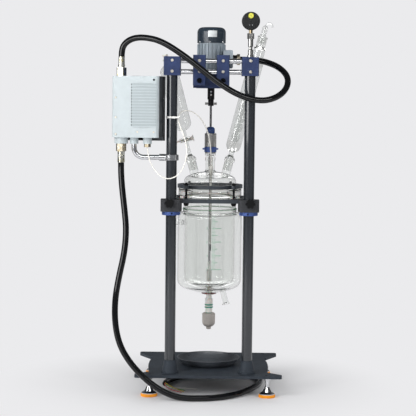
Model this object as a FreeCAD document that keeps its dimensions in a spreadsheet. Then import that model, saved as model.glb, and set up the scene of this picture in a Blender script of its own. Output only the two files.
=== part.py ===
import FreeCAD, Part
import math
import os
import re
import Sketcher

# Jacketed glass reactor: a 10 litre jacketed vessel hangs in a plate between two posts.
# X runs to the right seen from the posts' side, Y from the posts to the vessel's far side,
# and Z up. The origin is on the floor under the middle of the stand. Sizes are in mm.

Vector = FreeCAD.Vector
Rotation = FreeCAD.Rotation
Placement = FreeCAD.Placement

SIZES = [
    # Place of the vessel's axis over the origin
    ("axis_x", 52), ("axis_y", 0),
    # Base plate
    ("base_top", 95), ("base_t", 12), ("tip_x", 318), ("base_y", 290), ("tip_r", 12), ("tip_y", 36),
    ("waist_x", 256), ("waist_front", 195), ("waist_back", 150), ("waist_bow_r", 1300),
    # Levelling feet
    ("foot_x", 255), ("foot_y", 262), ("pad_r", 36), ("foot_pad_h", 13), ("cup_r", 33), ("stud_r", 8),
    ("foot_nut_r", 14), ("foot_nut_t", 10),
    # Drip tray
    ("tray_r", 140), ("tray_floor_r", 112), ("tray_h", 32), ("tray_t", 2),
    # Posts and their sockets
    ("post_x", 167), ("post_back", 220), ("post_r", 23), ("post_wall", 3), ("post_top", 1450),
    ("plug_h", 30), ("socket_r", 37), ("socket_top_r", 25.5), ("socket_h", 57), ("socket_edge", 9),
    # Carriage: clamps, collars, star knobs, support plate
    ("plate_z", 831), ("plate_t", 17), ("plate_gap", 4), ("plate_rim", 31), ("plate_front", 186),
    ("plate_end_x", 205), ("plate_end_y", 150),
    ("collar_top_z", 799), ("clamp_h", 52), ("clamp_w", 90), ("clamp_front", 42), ("clamp_back", 68),
    ("clamp_step", 34),
    ("clamp_corner_r", 16), ("collar_r", 40), ("collar_h", 16), ("knob_r", 21), ("knob_t", 16),
    ("knob_stud_r", 5), ("star_x", 6),
    # Glass flanges and the ring that clamps them
    ("seat_h", 8), ("seat_w", 24), ("flange_r", 140), ("flange_t", 15), ("gasket_t", 3), ("ring_r", 145),
    ("ring_gap", 1), ("ring_t", 15), ("ear_r", 13), ("tie_x", 104), ("tie_y", 119), ("tie_r", 5),
    ("tie_knob_r", 12), ("tie_knob_h", 17),
    # Jacketed vessel, heights from the underside of its flange
    ("glass_t", 6), ("jacket_t", 5), ("inner_r", 112), ("jacket_r", 143), ("neck_r", 117),
    ("jacket_top", 101), ("weld_z", 62), ("jacket_end", 377), ("inner_end", 368),
    ("jacket_knuckle", 40), ("jacket_crown", 300), ("inner_knuckle", 30), ("inner_crown", 200),
    ("boss_r", 34), ("boss_t", 6), ("drain_bore_r", 9), ("drain_wall_r", 16), ("seal_mid_r", 20),
    ("nozzle_r", 13), ("nozzle_bore_r", 9), ("nozzle_x", 61), ("nozzle_tilt", 14.5), ("nozzle_l", 66),
    ("nozzle_lip_r", 17), ("port_z", 116), ("port_angle", 152), ("port_l", 46),
    # Lid, heights from the underside of its flange
    ("lid_r", 116), ("lid_fillet", 4), ("lid_wall_top", 40), ("lid_knuckle", 30), ("lid_crown", 250),
    ("centre_r", 20.5),
    ("centre_wall", 4), ("centre_top", 167), ("centre_lip_r", 24.5), ("lip_t", 6),
    ("side_x", 67), ("side_z", 66), ("side_tilt", 14.5), ("side_l", 75), ("side_r", 20), ("side_bore_r", 17),
    ("side_lip_r", 23), ("probe_x", 3), ("probe_y", 66), ("probe_neck_r", 11), ("probe_neck_top", 101),
    ("probe_neck_bore", 8),
    # Probe
    ("probe_r", 4.5), ("probe_end", 613), ("probe_cap_r", 10), ("probe_cap_h", 15),
    # Shaft, coupling and paddle
    ("shaft_r", 5), ("shaft_end", 468), ("hub_r", 11), ("hub_h", 56), ("hub_neck_r", 6.5),
    ("hub_neck_h", 37), ("blade_l", 56), ("blade_h", 44), ("blade_t", 3), ("motor_shaft_r", 8),
    ("coupling_low", 1252), ("coupling_mid", 1279), ("coupling_step", 1333), ("coupling_top", 1340),
    ("coupling_r", 15.5), ("coupling_low_r", 12.5), ("coupling_top_r", 11), ("sight_r", 4.2),
    ("wing_z", 1262), ("wing_l", 13), ("wing_h", 11), ("wing_t", 3.5), ("wing_stud_r", 2.5),
    # Shaft seal on the centre neck
    ("seal_r", 26), ("seal_low_r", 24), ("seal_h", 90), ("seal_ring_r", 27), ("seal_ring_h", 23),
    ("seal_ring_lift", 6), ("seal_ear_x", 35), ("seal_cap_r", 19), ("seal_cap_h", 28),
    # Drain valve, heights down from the boss
    ("valve_neck_r", 12.5), ("valve_neck_h", 22), ("valve_r", 17.5), ("valve_wide_h", 22),
    ("valve_low_r", 16), ("valve_h", 85), ("valve_ring_r", 18.4), ("valve_ring_h", 5), ("running_fit", 0.06),
    ("stem_r", 6), ("valve_plug_h", 30), ("valve_knob_r", 29), ("valve_knob_h", 60),
    ("nub_r", 11), ("nub_h", 13), ("seal_t", 2.5), ("running_gap", 0.3),
    # Dropping funnel, heights along its leaning axis
    ("funnel_r", 40), ("funnel_wall", 2.5), ("funnel_tube_r", 8), ("funnel_low", 207), ("funnel_full", 236),
    ("funnel_end", 480), ("funnel_neck_z", 508), ("funnel_neck_r", 13), ("funnel_top", 532), ("cock_z", 166),
    ("barrel_r", 11), ("barrel_l", 44), ("key_r", 6), ("key_knob_r", 9),
    ("stopper_r", 13), ("stopper_h", 22),
    # Condenser, heights along its leaning axis
    ("cond_r", 33), ("cond_wall", 2.5), ("cond_tube_r", 11), ("cond_low", 112), ("cond_full", 150),
    ("cond_end", 510), ("cond_head_r", 26), ("cond_head_z", 536), ("cond_head_end", 590),
    ("cond_socket_r", 21),
    ("cond_top", 640), ("cond_inner_r", 11), ("cond_port_r", 7), ("cond_port_bore", 4.5),
    ("cond_port_l", 26), ("cond_port_in", 26), ("adapter_r", 12.5), ("adapter_bore_r", 8),
    ("adapter_top", 690),
    ("hook_r", 4), ("hook_bend", 15),
    # Far neck and its stopper
    ("far_y", 67),
    # Rods, blocks and motor bracket
    ("rod_r", 11), ("rod_y", 172), ("rod_hi", 1446), ("rod_lo", 1399), ("rod_half", 195),
    ("block_z", 1382), ("block_h", 80), ("block_w", 72), ("block_front", 36), ("block_back", 70),
    ("edge_r", 4), ("mblock_x", 51), ("mblock_w", 55), ("mblock_z", 1341), ("mblock_h", 130),
    ("mblock_d", 35), ("bracket_t", 10), ("bracket_x", 78), ("bracket_z", 1330), ("bracket_h", 62),
    ("shelf_x", 66), ("shelf_y", 72), ("shelf_t", 12), ("shelf_hole_r", 20), ("gusset_t", 8),
    # Motor
    ("motor_flange_r", 64), ("motor_flange_t", 12), ("motor_r", 58), ("motor_h", 187), ("fin_count", 24),
    ("fin_t", 3), ("fin_h", 5), ("cowl_r", 63), ("cowl_h", 69), ("cowl_edge", 22), ("vent_count", 12),
    ("tbox_x", 52), ("tbox_w", 40), ("tbox_front", 104), ("tbox_back", 8), ("tbox_z", 1418), ("tbox_h", 78),
    ("gland_y", 75),
    ("gland_z", 1456), ("gland_r", 20), ("gland_l", 18), ("nut_r", 24), ("nut_l", 13), ("hose_r", 13.3),
    # Screws
    ("screw_r", 4), ("screw_head_r", 6.5), ("screw_head_h", 4), ("big_screw_r", 6), ("big_head_r", 11),
    ("big_head_h", 8),
    # Gauge
    ("gauge_r", 39), ("gauge_d", 28), ("gauge_stem_l", 14.56), ("gauge_sink", 1.56), ("gauge_wall", 4),
    ("plug_r", 11.5),
    ("plug_up", 22), ("plug_out", 5), ("needle_l", 30), ("needle_sweep", 270), ("lens_t", 3),
    ("gauge_valve_r", 11), ("gauge_valve_h", 78),
    ("hex_r", 15), ("hex_h", 24), ("gauge_stem_r", 8),
    # Control box
    ("box_yaw", 13), ("box_x", 311), ("box_w", 206), ("box_h", 262), ("box_z", 1115), ("box_back", 60),
    ("box_split", 20), ("box_front", 60), ("box_r", 14), ("cover_low", 14), ("cover_w", 212),
    ("rib_count", 16), ("rib_pitch", 12.3), ("rib_t", 3), ("rib_h", 5), ("rib_x0", 12), ("rib_l", 112),
    ("rib_z0", 46), ("ear_w", 16), ("gland_in", 20), ("gland_left", 71), ("gland_mid", 13),
    ("gland_right", 46), ("boss_left_r", 29), ("boss_mid_r", 18), ("boss_right_r", 19), ("box_boss_h", 27),
    ("sleeve_hex_r", 22), ("sleeve_hex_h", 36), ("sleeve_r", 15.5), ("sleeve_top_h", 46),
    ("brass_left_h", 33), ("sleeve_low_h", 49), ("brass_right_r", 15), ("brass_right_h", 14),
    ("window_w", 96), ("window_h", 46), ("window_t", 3), ("window_z", 180), ("speed_r", 17), ("speed_h", 18),
    ("speed_z", 95), ("switch_r", 15), ("switch_h", 20), ("control_x", 45), ("spindle_r", 4),
    ("cover_screw_r", 3), ("cover_screw_l", 10),
    # Carrying tube and its clamp
    ("tube_r", 11), ("tube_z", 1030), ("tube_bend", 40), ("grip_r", 31), ("grip_h", 24),
    ("grip_socket_r", 15),
    # Cords
    ("cable_r", 2.5), ("wire_r", 1.5),
]

NAMES = {alias for alias, number in SIZES}

doc = FreeCAD.newDocument("glass_reactor")
sheet = doc.addObject("Spreadsheet::Sheet", "Sizes")
for row, (alias, number) in enumerate(SIZES, start=1):
    sheet.set("A%d" % row, alias)
    sheet.set("B%d" % row, "%g" % number)
    sheet.setAlias("B%d" % row, alias)
doc.recompute()

# Heights that several pieces share, as formulas over the sheet
SEAT = "(plate_z + plate_t + seat_h)"
LID_SEAT = "(" + SEAT + " + flange_t + gasket_t)"
RING_Z = "(" + LID_SEAT + " + flange_t)"
CENTRE_TOP = "(" + LID_SEAT + " + centre_top)"
DISH_RISE = "sqrt((jacket_crown - jacket_knuckle)^2 - (jacket_r - jacket_knuckle)^2)"
BOSS_TOP = "(-jacket_end + " + DISH_RISE + " - sqrt(jacket_crown^2 - boss_r^2))"
BOSS_Z = "(" + SEAT + " + " + BOSS_TOP + " - boss_t)"
BOX_TOP = "(box_z + box_h)"
BOX_Y = "(-post_back - gland_mid * sin(box_yaw) + gland_in * cos(box_yaw))"
BLOCK_TOP = "(block_z + block_h)"
SHELF_TOP = "(bracket_z + shelf_t)"
PLATE_HOLE = "(jacket_r + plate_gap)"
PLATE_R = "(jacket_r + plate_gap + plate_rim)"
RING_HOLE = "(lid_r + lid_fillet + ring_gap)"
GAUGE_FOOT = "(gauge_r - gauge_sink)"
GAUGE_Z = "(" + BLOCK_TOP + " + gauge_valve_h + hex_h + gauge_stem_l + " + GAUGE_FOOT + ")"

finished = []


def bound(formula):
    """A formula over the sheet's names, as an expression that any object can hold."""
    def cell(word):
        return "Sizes." + word.group() if word.group() in NAMES else word.group()
    return re.sub(r"[a-z]\w*", cell, formula)


def value(formula):
    """The number that a formula over the sheet's names gives."""
    return float(sheet.evalExpression(formula))


def drive(owner, path, formula):
    """Tie one property of an object to the sheet."""
    owner.setExpression(path, bound(formula))


def place(piece, x="0", y="0", z="0", turn=None):
    """Put a piece at a place counted from the vessel's axis on the floor."""
    piece.Placement = Placement(Vector(), turn or Rotation())
    drive(piece, "Placement.Base.x", "axis_x + (" + x + ")")
    drive(piece, "Placement.Base.y", "axis_y + (" + y + ")")
    drive(piece, "Placement.Base.z", z)
    return piece


def shift(piece, x="0", y="0", z="0", turn=None):
    """Put a piece at a place counted from the frame of the piece that it is part of."""
    piece.Placement = Placement(Vector(), turn or Rotation())
    drive(piece, "Placement.Base.x", x)
    drive(piece, "Placement.Base.y", y)
    drive(piece, "Placement.Base.z", z)
    return piece


def keep(piece, node):
    """Give a finished piece its name and put it on the list of pieces to write."""
    piece.Label = node
    finished.append(piece)
    return piece


def new_sketch(body, name, plane):
    """A sketch on one of its own body's origin planes."""
    sketch = body.newObject("Sketcher::SketchObject", name)
    support = [face for face in body.Origin.OriginFeatures if face.Role == plane][0]
    sketch.AttachmentSupport = [(support, "")]
    sketch.MapMode = "FlatFace"
    return sketch


def arc_between(start, end, radius, side):
    """The minor arc from start to end, its centre to the left of the way for side 1."""
    way = end - start
    middle = start + way * 0.5
    left = Vector(-way.y, way.x, 0).normalize()
    reach = math.sqrt(max(radius ** 2 - (way.Length / 2) ** 2, 0))
    centre = middle + left * reach * side
    first, last = (start, end) if side > 0 else (end, start)
    angles = [math.atan2(point.y - centre.y, point.x - centre.x) for point in (first, last)]
    return Part.ArcOfCircle(Part.Circle(centre, Vector(0, 0, 1), radius), angles[0], angles[1])


def pin_point(sketch, geometry, end, x, y):
    """Hold one point of a sketch at a place given by two formulas."""
    for kind, axis, formula in (("DistanceX", -2, x), ("DistanceY", -1, y)):
        if formula == "0":
            sketch.addConstraint(Sketcher.Constraint("PointOnObject", geometry, end, axis))
        else:
            row = sketch.addConstraint(Sketcher.Constraint(kind, -1, 1, geometry, end, value(formula)))
            drive(sketch, "Constraints[%d]" % row, formula)


def outline(sketch, points):
    """A closed outline through points (x, y), or (x, y, radius, side) where an arc arrives."""
    spots = [Vector(value(point[0]), value(point[1]), 0) for point in points]
    count = len(points)
    ends = []
    for index in range(count):
        target = points[(index + 1) % count]
        start, end = spots[index], spots[(index + 1) % count]
        if len(target) == 2:
            row = sketch.addGeometry(Part.LineSegment(start, end))
            ends.append((row, 1, 2))
            continue
        side = target[3] if len(target) > 3 else 1
        row = sketch.addGeometry(arc_between(start, end, value(target[2]), side))
        ends.append((row, 1, 2) if side > 0 else (row, 2, 1))
    for index in range(count):
        row, start, end = ends[index]
        before = ends[index - 1]
        sketch.addConstraint(Sketcher.Constraint("Coincident", before[0], before[2], row, start))
        pin_point(sketch, row, start, points[index][0], points[index][1])
        target = points[(index + 1) % count]
        if len(target) > 2:
            size = sketch.addConstraint(Sketcher.Constraint("Radius", row, value(target[2])))
            drive(sketch, "Constraints[%d]" % size, target[2])


def ring_line(sketch, x, y, radius):
    """A circle in a sketch, held at its centre."""
    centre = Vector(value(x), value(y), 0)
    row = sketch.addGeometry(Part.Circle(centre, Vector(0, 0, 1), value(radius)))
    size = sketch.addConstraint(Sketcher.Constraint("Radius", row, value(radius)))
    drive(sketch, "Constraints[%d]" % size, radius)
    if x == "0" and y == "0":
        sketch.addConstraint(Sketcher.Constraint("Coincident", row, 3, -1, 1))
    else:
        pin_point(sketch, row, 3, x, y)


def lathe(name, *profiles):
    """A body turned about Z from closed half outlines of (radius, height)."""
    body = doc.addObject("PartDesign::Body", name)
    sketch = new_sketch(body, name + "_profile", "XZ_Plane")
    for profile in profiles:
        outline(sketch, profile)
    turned = body.newObject("PartDesign::Revolution", name + "_turned")
    turned.Profile = sketch
    turned.ReferenceAxis = (sketch, ["V_Axis"])
    turned.Angle = 360
    return body


def slab(name, height, profile, circles=(), plane="XY_Plane"):
    """A body padded from an outline with round holes: up from XY, to +X from YZ, to -Y from XZ."""
    body = doc.addObject("PartDesign::Body", name)
    sketch = new_sketch(body, name + "_outline", plane)
    if profile:
        outline(sketch, profile)
    for circle in circles:
        ring_line(sketch, *circle)
    pad = body.newObject("PartDesign::Pad", name + "_pad")
    pad.Profile = sketch
    drive(pad, "Length", height)
    return body


def box_profile(x, y, radius):
    """A rectangle of half sizes x and y with round corners."""
    return [("-(%s) + %s" % (x, radius), "-(%s)" % y, radius), ("%s - %s" % (x, radius), "-(%s)" % y),
            (x, "-(%s) + %s" % (y, radius), radius), (x, "%s - %s" % (y, radius)),
            ("%s - %s" % (x, radius), y, radius), ("-(%s) + %s" % (x, radius), y),
            ("-(%s)" % x, "%s - %s" % (y, radius), radius), ("-(%s)" % x, "-(%s) + %s" % (y, radius))]


def rectangle(x0, x1, y0, y1):
    """A plain rectangle between two corners."""
    return [(x0, y0), (x1, y0), (x1, y1), (x0, y1)]


def rod(name, radius, length, x="0", y="0", z="0", turn=None):
    """A cylinder along its own Z."""
    cylinder = doc.addObject("Part::Cylinder", name)
    drive(cylinder, "Radius", radius)
    drive(cylinder, "Height", length)
    return shift(cylinder, x, y, z, turn)


def hexagon(name, radius, height, x="0", y="0", z="0", turn=None):
    """A hexagonal prism, its radius to the corners."""
    prism = doc.addObject("Part::Prism", name)
    prism.Polygon = 6
    drive(prism, "Circumradius", radius)
    drive(prism, "Height", height)
    return shift(prism, x, y, z, turn)


def joined(name, pieces):
    """Several solids as one."""
    if len(pieces) == 1:
        return pieces[0]
    union = doc.addObject("Part::MultiFuse", name)
    union.Shapes = pieces
    return union


def carved(name, form, tools):
    """A form with the tools' volumes taken away."""
    cut = doc.addObject("Part::Cut", name)
    cut.Base = form
    cut.Tool = joined(name + "_tools", tools)
    return cut


def together(name, pieces):
    """Separate solids that share one node."""
    group = doc.addObject("Part::Compound", name)
    group.Links = pieces
    return group


ALONG_X = Rotation(Vector(0, 1, 0), 90)
AGAINST_X = Rotation(Vector(0, 1, 0), -90)
TO_POSTS = Rotation(Vector(1, 0, 0), 90)
TO_FRONT = Rotation(Vector(1, 0, 0), -90)
SIDES = (("left", "-1"), ("right", "1"))


def cap_screw(name, shank_r, shank_l, head_r, head_h):
    """A socket screw, its head standing on z = 0 and its shank going down."""
    form = lathe(name + "_form", [("0", "-(%s)" % shank_l), (shank_r, "-(%s)" % shank_l), (shank_r, "0"),
                                  (head_r, "0"), (head_r, "%s - 0.6" % head_h),
                                  ("%s - 0.6" % head_r, head_h), ("0", head_h)])
    socket = hexagon(name + "_socket", "%s * 0.5" % head_r, head_h, z="%s * 0.45" % head_h)
    return carved(name, form, [socket])


def stand():
    """Base plate, levelling feet, tray, posts and sockets."""
    bow = "waist_bow_r"
    profile = [("-tip_x + tip_r", "-base_y"), ("tip_x - tip_r", "-base_y"),
               ("tip_x", "-base_y + tip_r", "tip_r"), ("tip_x", "-base_y + tip_y"),
               ("waist_x + tip_r", "-waist_front - tip_r"), ("waist_x", "-waist_front", "tip_r * 1.5", -1),
               ("waist_x", "waist_back", bow), ("waist_x + tip_r", "waist_back + tip_r", "tip_r * 1.5", -1),
               ("tip_x", "base_y - tip_y"), ("tip_x", "base_y - tip_r"),
               ("tip_x - tip_r", "base_y", "tip_r"), ("-tip_x + tip_r", "base_y"),
               ("-tip_x", "base_y - tip_r", "tip_r"), ("-tip_x", "base_y - tip_y"),
               ("-waist_x - tip_r", "waist_back + tip_r"), ("-waist_x", "waist_back", "tip_r * 1.5", -1),
               ("-waist_x", "-waist_front", bow),
               ("-waist_x - tip_r", "-waist_front - tip_r", "tip_r * 1.5", -1),
               ("-tip_x", "-base_y + tip_y"), ("-tip_x", "-base_y + tip_r")]
    profile[0] = profile[0] + ("tip_r",)
    corners = [(x + "foot_x", y + "foot_y") for x in ("-", "") for y in ("-", "")]
    studs = [(x, y, "stud_r") for x, y in corners]
    plate = slab("base_form", "base_t", profile, studs)
    keep(place(plate, z="base_top - base_t"), "base_plate")

    pads = []
    cups = []
    for number, (x, y) in enumerate(corners, start=1):
        pad = lathe("pad_%d" % number, [("0", "0"), ("pad_r - 2", "0"), ("pad_r", "2"),
            ("pad_r", "foot_pad_h - 3"),
                                        ("pad_r - 3", "foot_pad_h"), ("0", "foot_pad_h")])
        pads.append(place(pad, x, y))
        top = "base_top - foot_pad_h - 2"
        cup = lathe("cup_%d" % number, [("0", "0"), ("cup_r", "0"), ("cup_r", "3"), ("cup_r * 0.62", "11"),
                                        ("stud_r + 4", "27"), ("stud_r + 2", "31"), ("stud_r", "31"),
                                        ("stud_r", top), ("0", top)])
        cups.append(place(cup, x, y, "foot_pad_h"))
        nut = carved("foot_nut_%d" % number, hexagon("foot_nut_form_%d" % number, "foot_nut_r",
            "foot_nut_t"),
                     [rod("foot_nut_bore_%d" % number, "stud_r", "foot_nut_t")])
        cups.append(place(nut, x, y, "base_top - base_t - foot_nut_t"))
    keep(together("pads", pads), "foot_pads")
    keep(together("cups", cups), "foot_cups")

    tray = lathe("tray_form", [("0", "0"), ("tray_floor_r", "0"),
        ("tray_r - tray_t", "tray_h - tray_t", "60"),
                               ("tray_r + 1", "tray_h - tray_t"), ("tray_r + 1", "tray_h"),
                               ("tray_r - tray_t * 2", "tray_h"), ("tray_floor_r - 1", "tray_t", "60", -1),
                               ("0", "tray_t")])
    keep(place(tray, z="base_top"), "drip_tray")

    posts = []
    sockets = []
    for side, x in (("left", "-post_x"), ("right", "post_x")):
        length = "post_top - base_top"
        post = lathe("post_" + side, [("0", "0"), ("post_r", "0"), ("post_r", length),
                                      ("post_r - post_wall", length), ("post_r - post_wall", "plug_h"),
                                      ("0", "plug_h")])
        posts.append(place(post, x, "-post_back", "base_top"))
        socket = lathe("socket_" + side, [("post_r", "0"), ("socket_r", "0"),
            ("socket_r", "socket_edge - 3"),
                                          ("socket_r - 3", "socket_edge", "3"),
                                          ("socket_top_r", "socket_h - 3"), ("socket_top_r", "socket_h"),
                                          ("post_r", "socket_h")])
        sockets.append(place(socket, x, "-post_back", "base_top"))
    keep(together("post_pair", posts), "posts")
    keep(together("socket_pair", sockets), "post_sockets")


def carriage():
    """Clamps on the posts, the plate that carries the glass, and the ring that holds its flanges."""
    collars = []
    for side, sign in SIDES:
        x = sign + " * post_x"
        half = "clamp_w / 2"
        full = [("-%s + clamp_corner_r" % half, "-clamp_front"),
            (half + " - clamp_corner_r", "-clamp_front"),
                (half, "-clamp_front + clamp_corner_r", "clamp_corner_r"), (half, "clamp_back"),
                ("-" + half, "clamp_back"), ("-" + half, "-clamp_front + clamp_corner_r")]
        full[0] = full[0] + ("clamp_corner_r",)
        upper = [point for point in full]
        upper[3] = (half, "clamp_step")
        upper[4] = ("-" + half, "clamp_step")
        bore = [("0", "0", "post_r")]
        low = slab("clamp_low_" + side, "plate_z - collar_top_z", full, bore)
        high = shift(slab("clamp_high_" + side, "collar_top_z + clamp_h - plate_z", upper, bore),
                     z="plate_z - collar_top_z")
        thread = rod("clamp_thread_" + side, "knob_stud_r", "clamp_front", "star_x * " + sign, "-post_r",
                     "clamp_h * 0.72", TO_POSTS)
        clamp = carved("clamp_" + side, joined("clamp_form_" + side, [low, high]), [thread])
        keep(place(clamp, x, "-post_back", "collar_top_z"), "clamp_" + side)

        collar = lathe("collar_" + side, [("post_r", "0"), ("collar_r - 1", "0"), ("collar_r", "1"),
                                          ("collar_r", "collar_h - 1"), ("collar_r - 1", "collar_h"),
                                          ("post_r", "collar_h")])
        hole = rod("collar_hole_" + side, "screw_r", "collar_r", "-4 * " + sign, "-post_r", "collar_h / 2",
                   TO_POSTS)
        collars.append(place(carved("collar_cut_" + side, collar, [hole]), x, "-post_back",
                             "collar_top_z - collar_h"))

        star = slab("star_" + side, "knob_t", None, [("0", "0", "knob_r - 5")])
        lobe_sketch = new_sketch(star, "lobe_outline_" + side, "XY_Plane")
        ring_line(lobe_sketch, "knob_r - 6", "0", "6")
        lobe = star.newObject("PartDesign::Pad", "lobe_" + side)
        lobe.Profile = lobe_sketch
        drive(lobe, "Length", "knob_t")
        pattern = star.newObject("PartDesign::PolarPattern", "lobes_" + side)
        pattern.Originals = [lobe]
        pattern.Axis = (lobe_sketch, ["N_Axis"])
        pattern.Angle = 360
        pattern.Occurrences = 6
        star.Tip = pattern
        stud_length = "clamp_front - post_r - 1"
        stud = rod("star_stud_" + side, "knob_stud_r - running_fit", stud_length + " + 4",
            z="-(%s) - 4" % stud_length)
        knob = joined("star_knob_form_" + side, [star, stud])
        keep(place(knob, x + " + star_x * " + sign, "-post_back - clamp_front - 4",
                   "collar_top_z + clamp_h * 0.72", TO_POSTS), "star_knob_" + side)
    keep(together("collar_pair", collars), "collars")

    ties = [(x + "tie_x", y + "tie_y") for x in ("-", "") for y in ("-", "")]
    tie_holes = [(x, y, "tie_r") for x, y in ties]
    plate = slab("plate_form", "plate_t",
                 [("-plate_end_x", "-plate_front"), ("plate_end_x", "-plate_front"),
                 ("plate_end_x", "-plate_end_y"),
                  (PLATE_R, "-plate_end_y + 30"), (PLATE_R, "0"), ("0", PLATE_R, PLATE_R),
                  ("-" + PLATE_R, "0", PLATE_R), ("-" + PLATE_R, "-plate_end_y + 30"),
                  ("-plate_end_x", "-plate_end_y")],
                 [("0", "0", PLATE_HOLE)] + tie_holes)
    keep(place(plate, z="plate_z"), "support_plate")

    seats = []
    for number, (x, y) in enumerate(ties, start=1):
        way_x = -1 if x.startswith("-") else 1
        way_y = -1 if y.startswith("-") else 1
        angle = math.degrees(math.atan2(way_y * value("tie_y"), way_x * value("tie_x"))) - way_x * way_y * 9
        seat = slab("seat_%d" % number, "seat_h", rectangle(PLATE_HOLE + " - 20", PLATE_HOLE + " + 14",
                                                           "-seat_w / 2", "seat_w / 2"))
        seats.append(place(seat, z="plate_z + plate_t", turn=Rotation(Vector(0, 0, 1), angle)))
    gasket = lathe("gasket", rectangle("neck_r - glass_t + 1", "flange_r - 2", "0", "gasket_t"))
    seats.append(place(gasket, z=SEAT + " + flange_t"))
    keep(together("seats", seats), "flange_seats")

    ring = slab("ring_form", "ring_t", None, [("0", "0", "ring_r"), ("0", "0", RING_HOLE)])
    ears = [slab("ring_ear_%d" % number, "ring_t", None, [(x, y, "ear_r")])
            for number, (x, y) in enumerate(ties, start=1)]
    bores = [rod("ring_bore_%d" % number, "tie_r", "ring_t", x, y) for number,
        (x, y) in enumerate(ties, start=1)]
    ring_cut = carved("ring_cut", joined("ring_joined", [ring] + ears), bores)
    keep(place(ring_cut, z=RING_Z), "clamp_ring")

    rods = []
    for number, (x, y) in enumerate(ties, start=1):
        bottom = "(plate_z - tie_knob_h)"
        length = RING_Z + " + ring_t + 12 - " + bottom
        stud = rod("tie_%d" % number, "tie_r", length)
        knob = lathe("tie_knob_%d" % number, [("tie_r", "0"), ("tie_knob_r * 0.6", "0"),
                                              ("tie_knob_r", "tie_knob_h * 0.5"),
                                              ("tie_knob_r", "tie_knob_h"),
                                              ("tie_r", "tie_knob_h")])
        nut = hexagon("tie_nut_%d" % number, "tie_r + 4", "8", z=RING_Z + " + ring_t - " + bottom)
        rods.append(place(joined("tie_set_%d" % number, [stud, knob, nut]), x, y, bottom))
    keep(together("ties", rods), "tie_rods")


def dish(radius, knuckle, crown, level, inner, going_in):
    """The lower end of a round shell: a knuckle arc and a crown arc between the wall and radius inner."""
    radius, knuckle, crown = ["(%s)" % size for size in (radius, knuckle, crown)]
    rise = "sqrt((%s - %s)^2 - (%s - %s)^2)" % (crown, knuckle, radius, knuckle)
    wall = (radius, level)
    joint = ("(%s - %s) * %s / (%s - %s)" % (radius, knuckle, crown, crown, knuckle),
             "%s - %s * %s / (%s - %s)" % (level, rise, knuckle, crown, knuckle))
    middle = (inner, "%s + %s - sqrt(%s^2 - (%s)^2)" % (level, rise, crown, inner))
    if going_in:
        return [wall, joint + (knuckle, -1), middle + (crown, -1)]
    return [middle, joint + (crown, 1), wall + (knuckle, 1)]


def tube(name, outer, bore, length, lip_r, x, y, z, turn):
    """The outside and the bore of a glass nozzle with a lip at its end."""
    wall = lathe(name + "_wall", [("0", "0"), (outer, "0"), (outer, "%s - 7" % length),
                                  (lip_r, "%s - 3" % length), (lip_r, length), ("0", length)])
    hollow = rod(name + "_bore", bore, "%s + 2" % length)
    return shift(wall, x, y, z, turn), shift(hollow, x, y, z, turn)


def vessel():
    """The jacketed vessel: an inner vessel in a jacket, with a drain, a low nozzle and a high port."""
    lower = dish("jacket_r", "jacket_knuckle", "jacket_crown", "-jacket_end", "boss_r", False)
    form = lathe("vessel_outside",
                 [("0", BOSS_TOP + " - boss_t"), ("boss_r", BOSS_TOP + " - boss_t")] + lower
                 + [("jacket_r", "-jacket_top"), ("neck_r + 1", "-jacket_top + 26", "26"),
                    ("neck_r + 3", "-weld_z - 3"), ("neck_r + 3", "-weld_z + 3"), ("neck_r", "-weld_z + 6"),
                    ("neck_r", "-14"), ("neck_r + 9", "0", "16", -1), ("flange_r", "0"),
                    ("flange_r", "flange_t"),
                    ("0", "flange_t")])
    inside = "inner_r - glass_t"
    hollow_low = dish(inside, "inner_knuckle - glass_t", "inner_crown - glass_t", "-inner_end", "0", False)
    hollow = lathe("vessel_hollow", hollow_low + [(inside, "-weld_z - 10"),
        ("neck_r - glass_t", "-weld_z + 6"),
                                                ("neck_r - glass_t", "flange_t + 1"), ("0", "flange_t + 1")])
    gap_r = "jacket_r - jacket_t"
    gap_low = dish(gap_r, "jacket_knuckle - jacket_t", "jacket_crown - jacket_t", "-jacket_end",
                   "drain_wall_r", False)
    gap_up = dish("inner_r", "inner_knuckle", "inner_crown", "-inner_end", "drain_wall_r", True)
    gap = lathe("jacket_gap", gap_low + [(gap_r, "-jacket_top"), ("inner_r + 6", "-jacket_top + 20", "22"),
                                         ("inner_r", "-jacket_top + 20")] + gap_up)
    drain = rod("drain_bore", "drain_bore_r", "inner_end", z="-inner_end - inner_crown")
    groove = lathe("seal_groove", rectangle("seal_mid_r - 1.5", "seal_mid_r + 1.5",
        BOSS_TOP + " - boss_t - 1",
                                            BOSS_TOP + " - boss_t + 3"))
    low_turn = Rotation(Vector(0, 1, 0), 180 - value("nozzle_tilt"))
    low_wall, low_bore = tube("nozzle", "nozzle_r", "nozzle_bore_r", "nozzle_l", "nozzle_lip_r", "nozzle_x",
        "0",
                              BOSS_TOP + " + 9", low_turn)
    port_turn = Rotation(Vector(0, 0, 1), value("port_angle")) * ALONG_X
    port_x = "(jacket_r - 6) * cos(port_angle)"
    port_y = "(jacket_r - 6) * sin(port_angle)"
    port_wall, port_bore = tube("port", "nozzle_r", "nozzle_bore_r", "port_l", "nozzle_lip_r", port_x,
        port_y,
                                "-port_z - 14", port_turn)
    outside = joined("vessel_form", [form, low_wall, port_wall])
    keep(place(carved("vessel_glass", outside, [hollow, gap, drain, groove, low_bore, port_bore]), z=SEAT),
         "jacketed_vessel")


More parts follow.
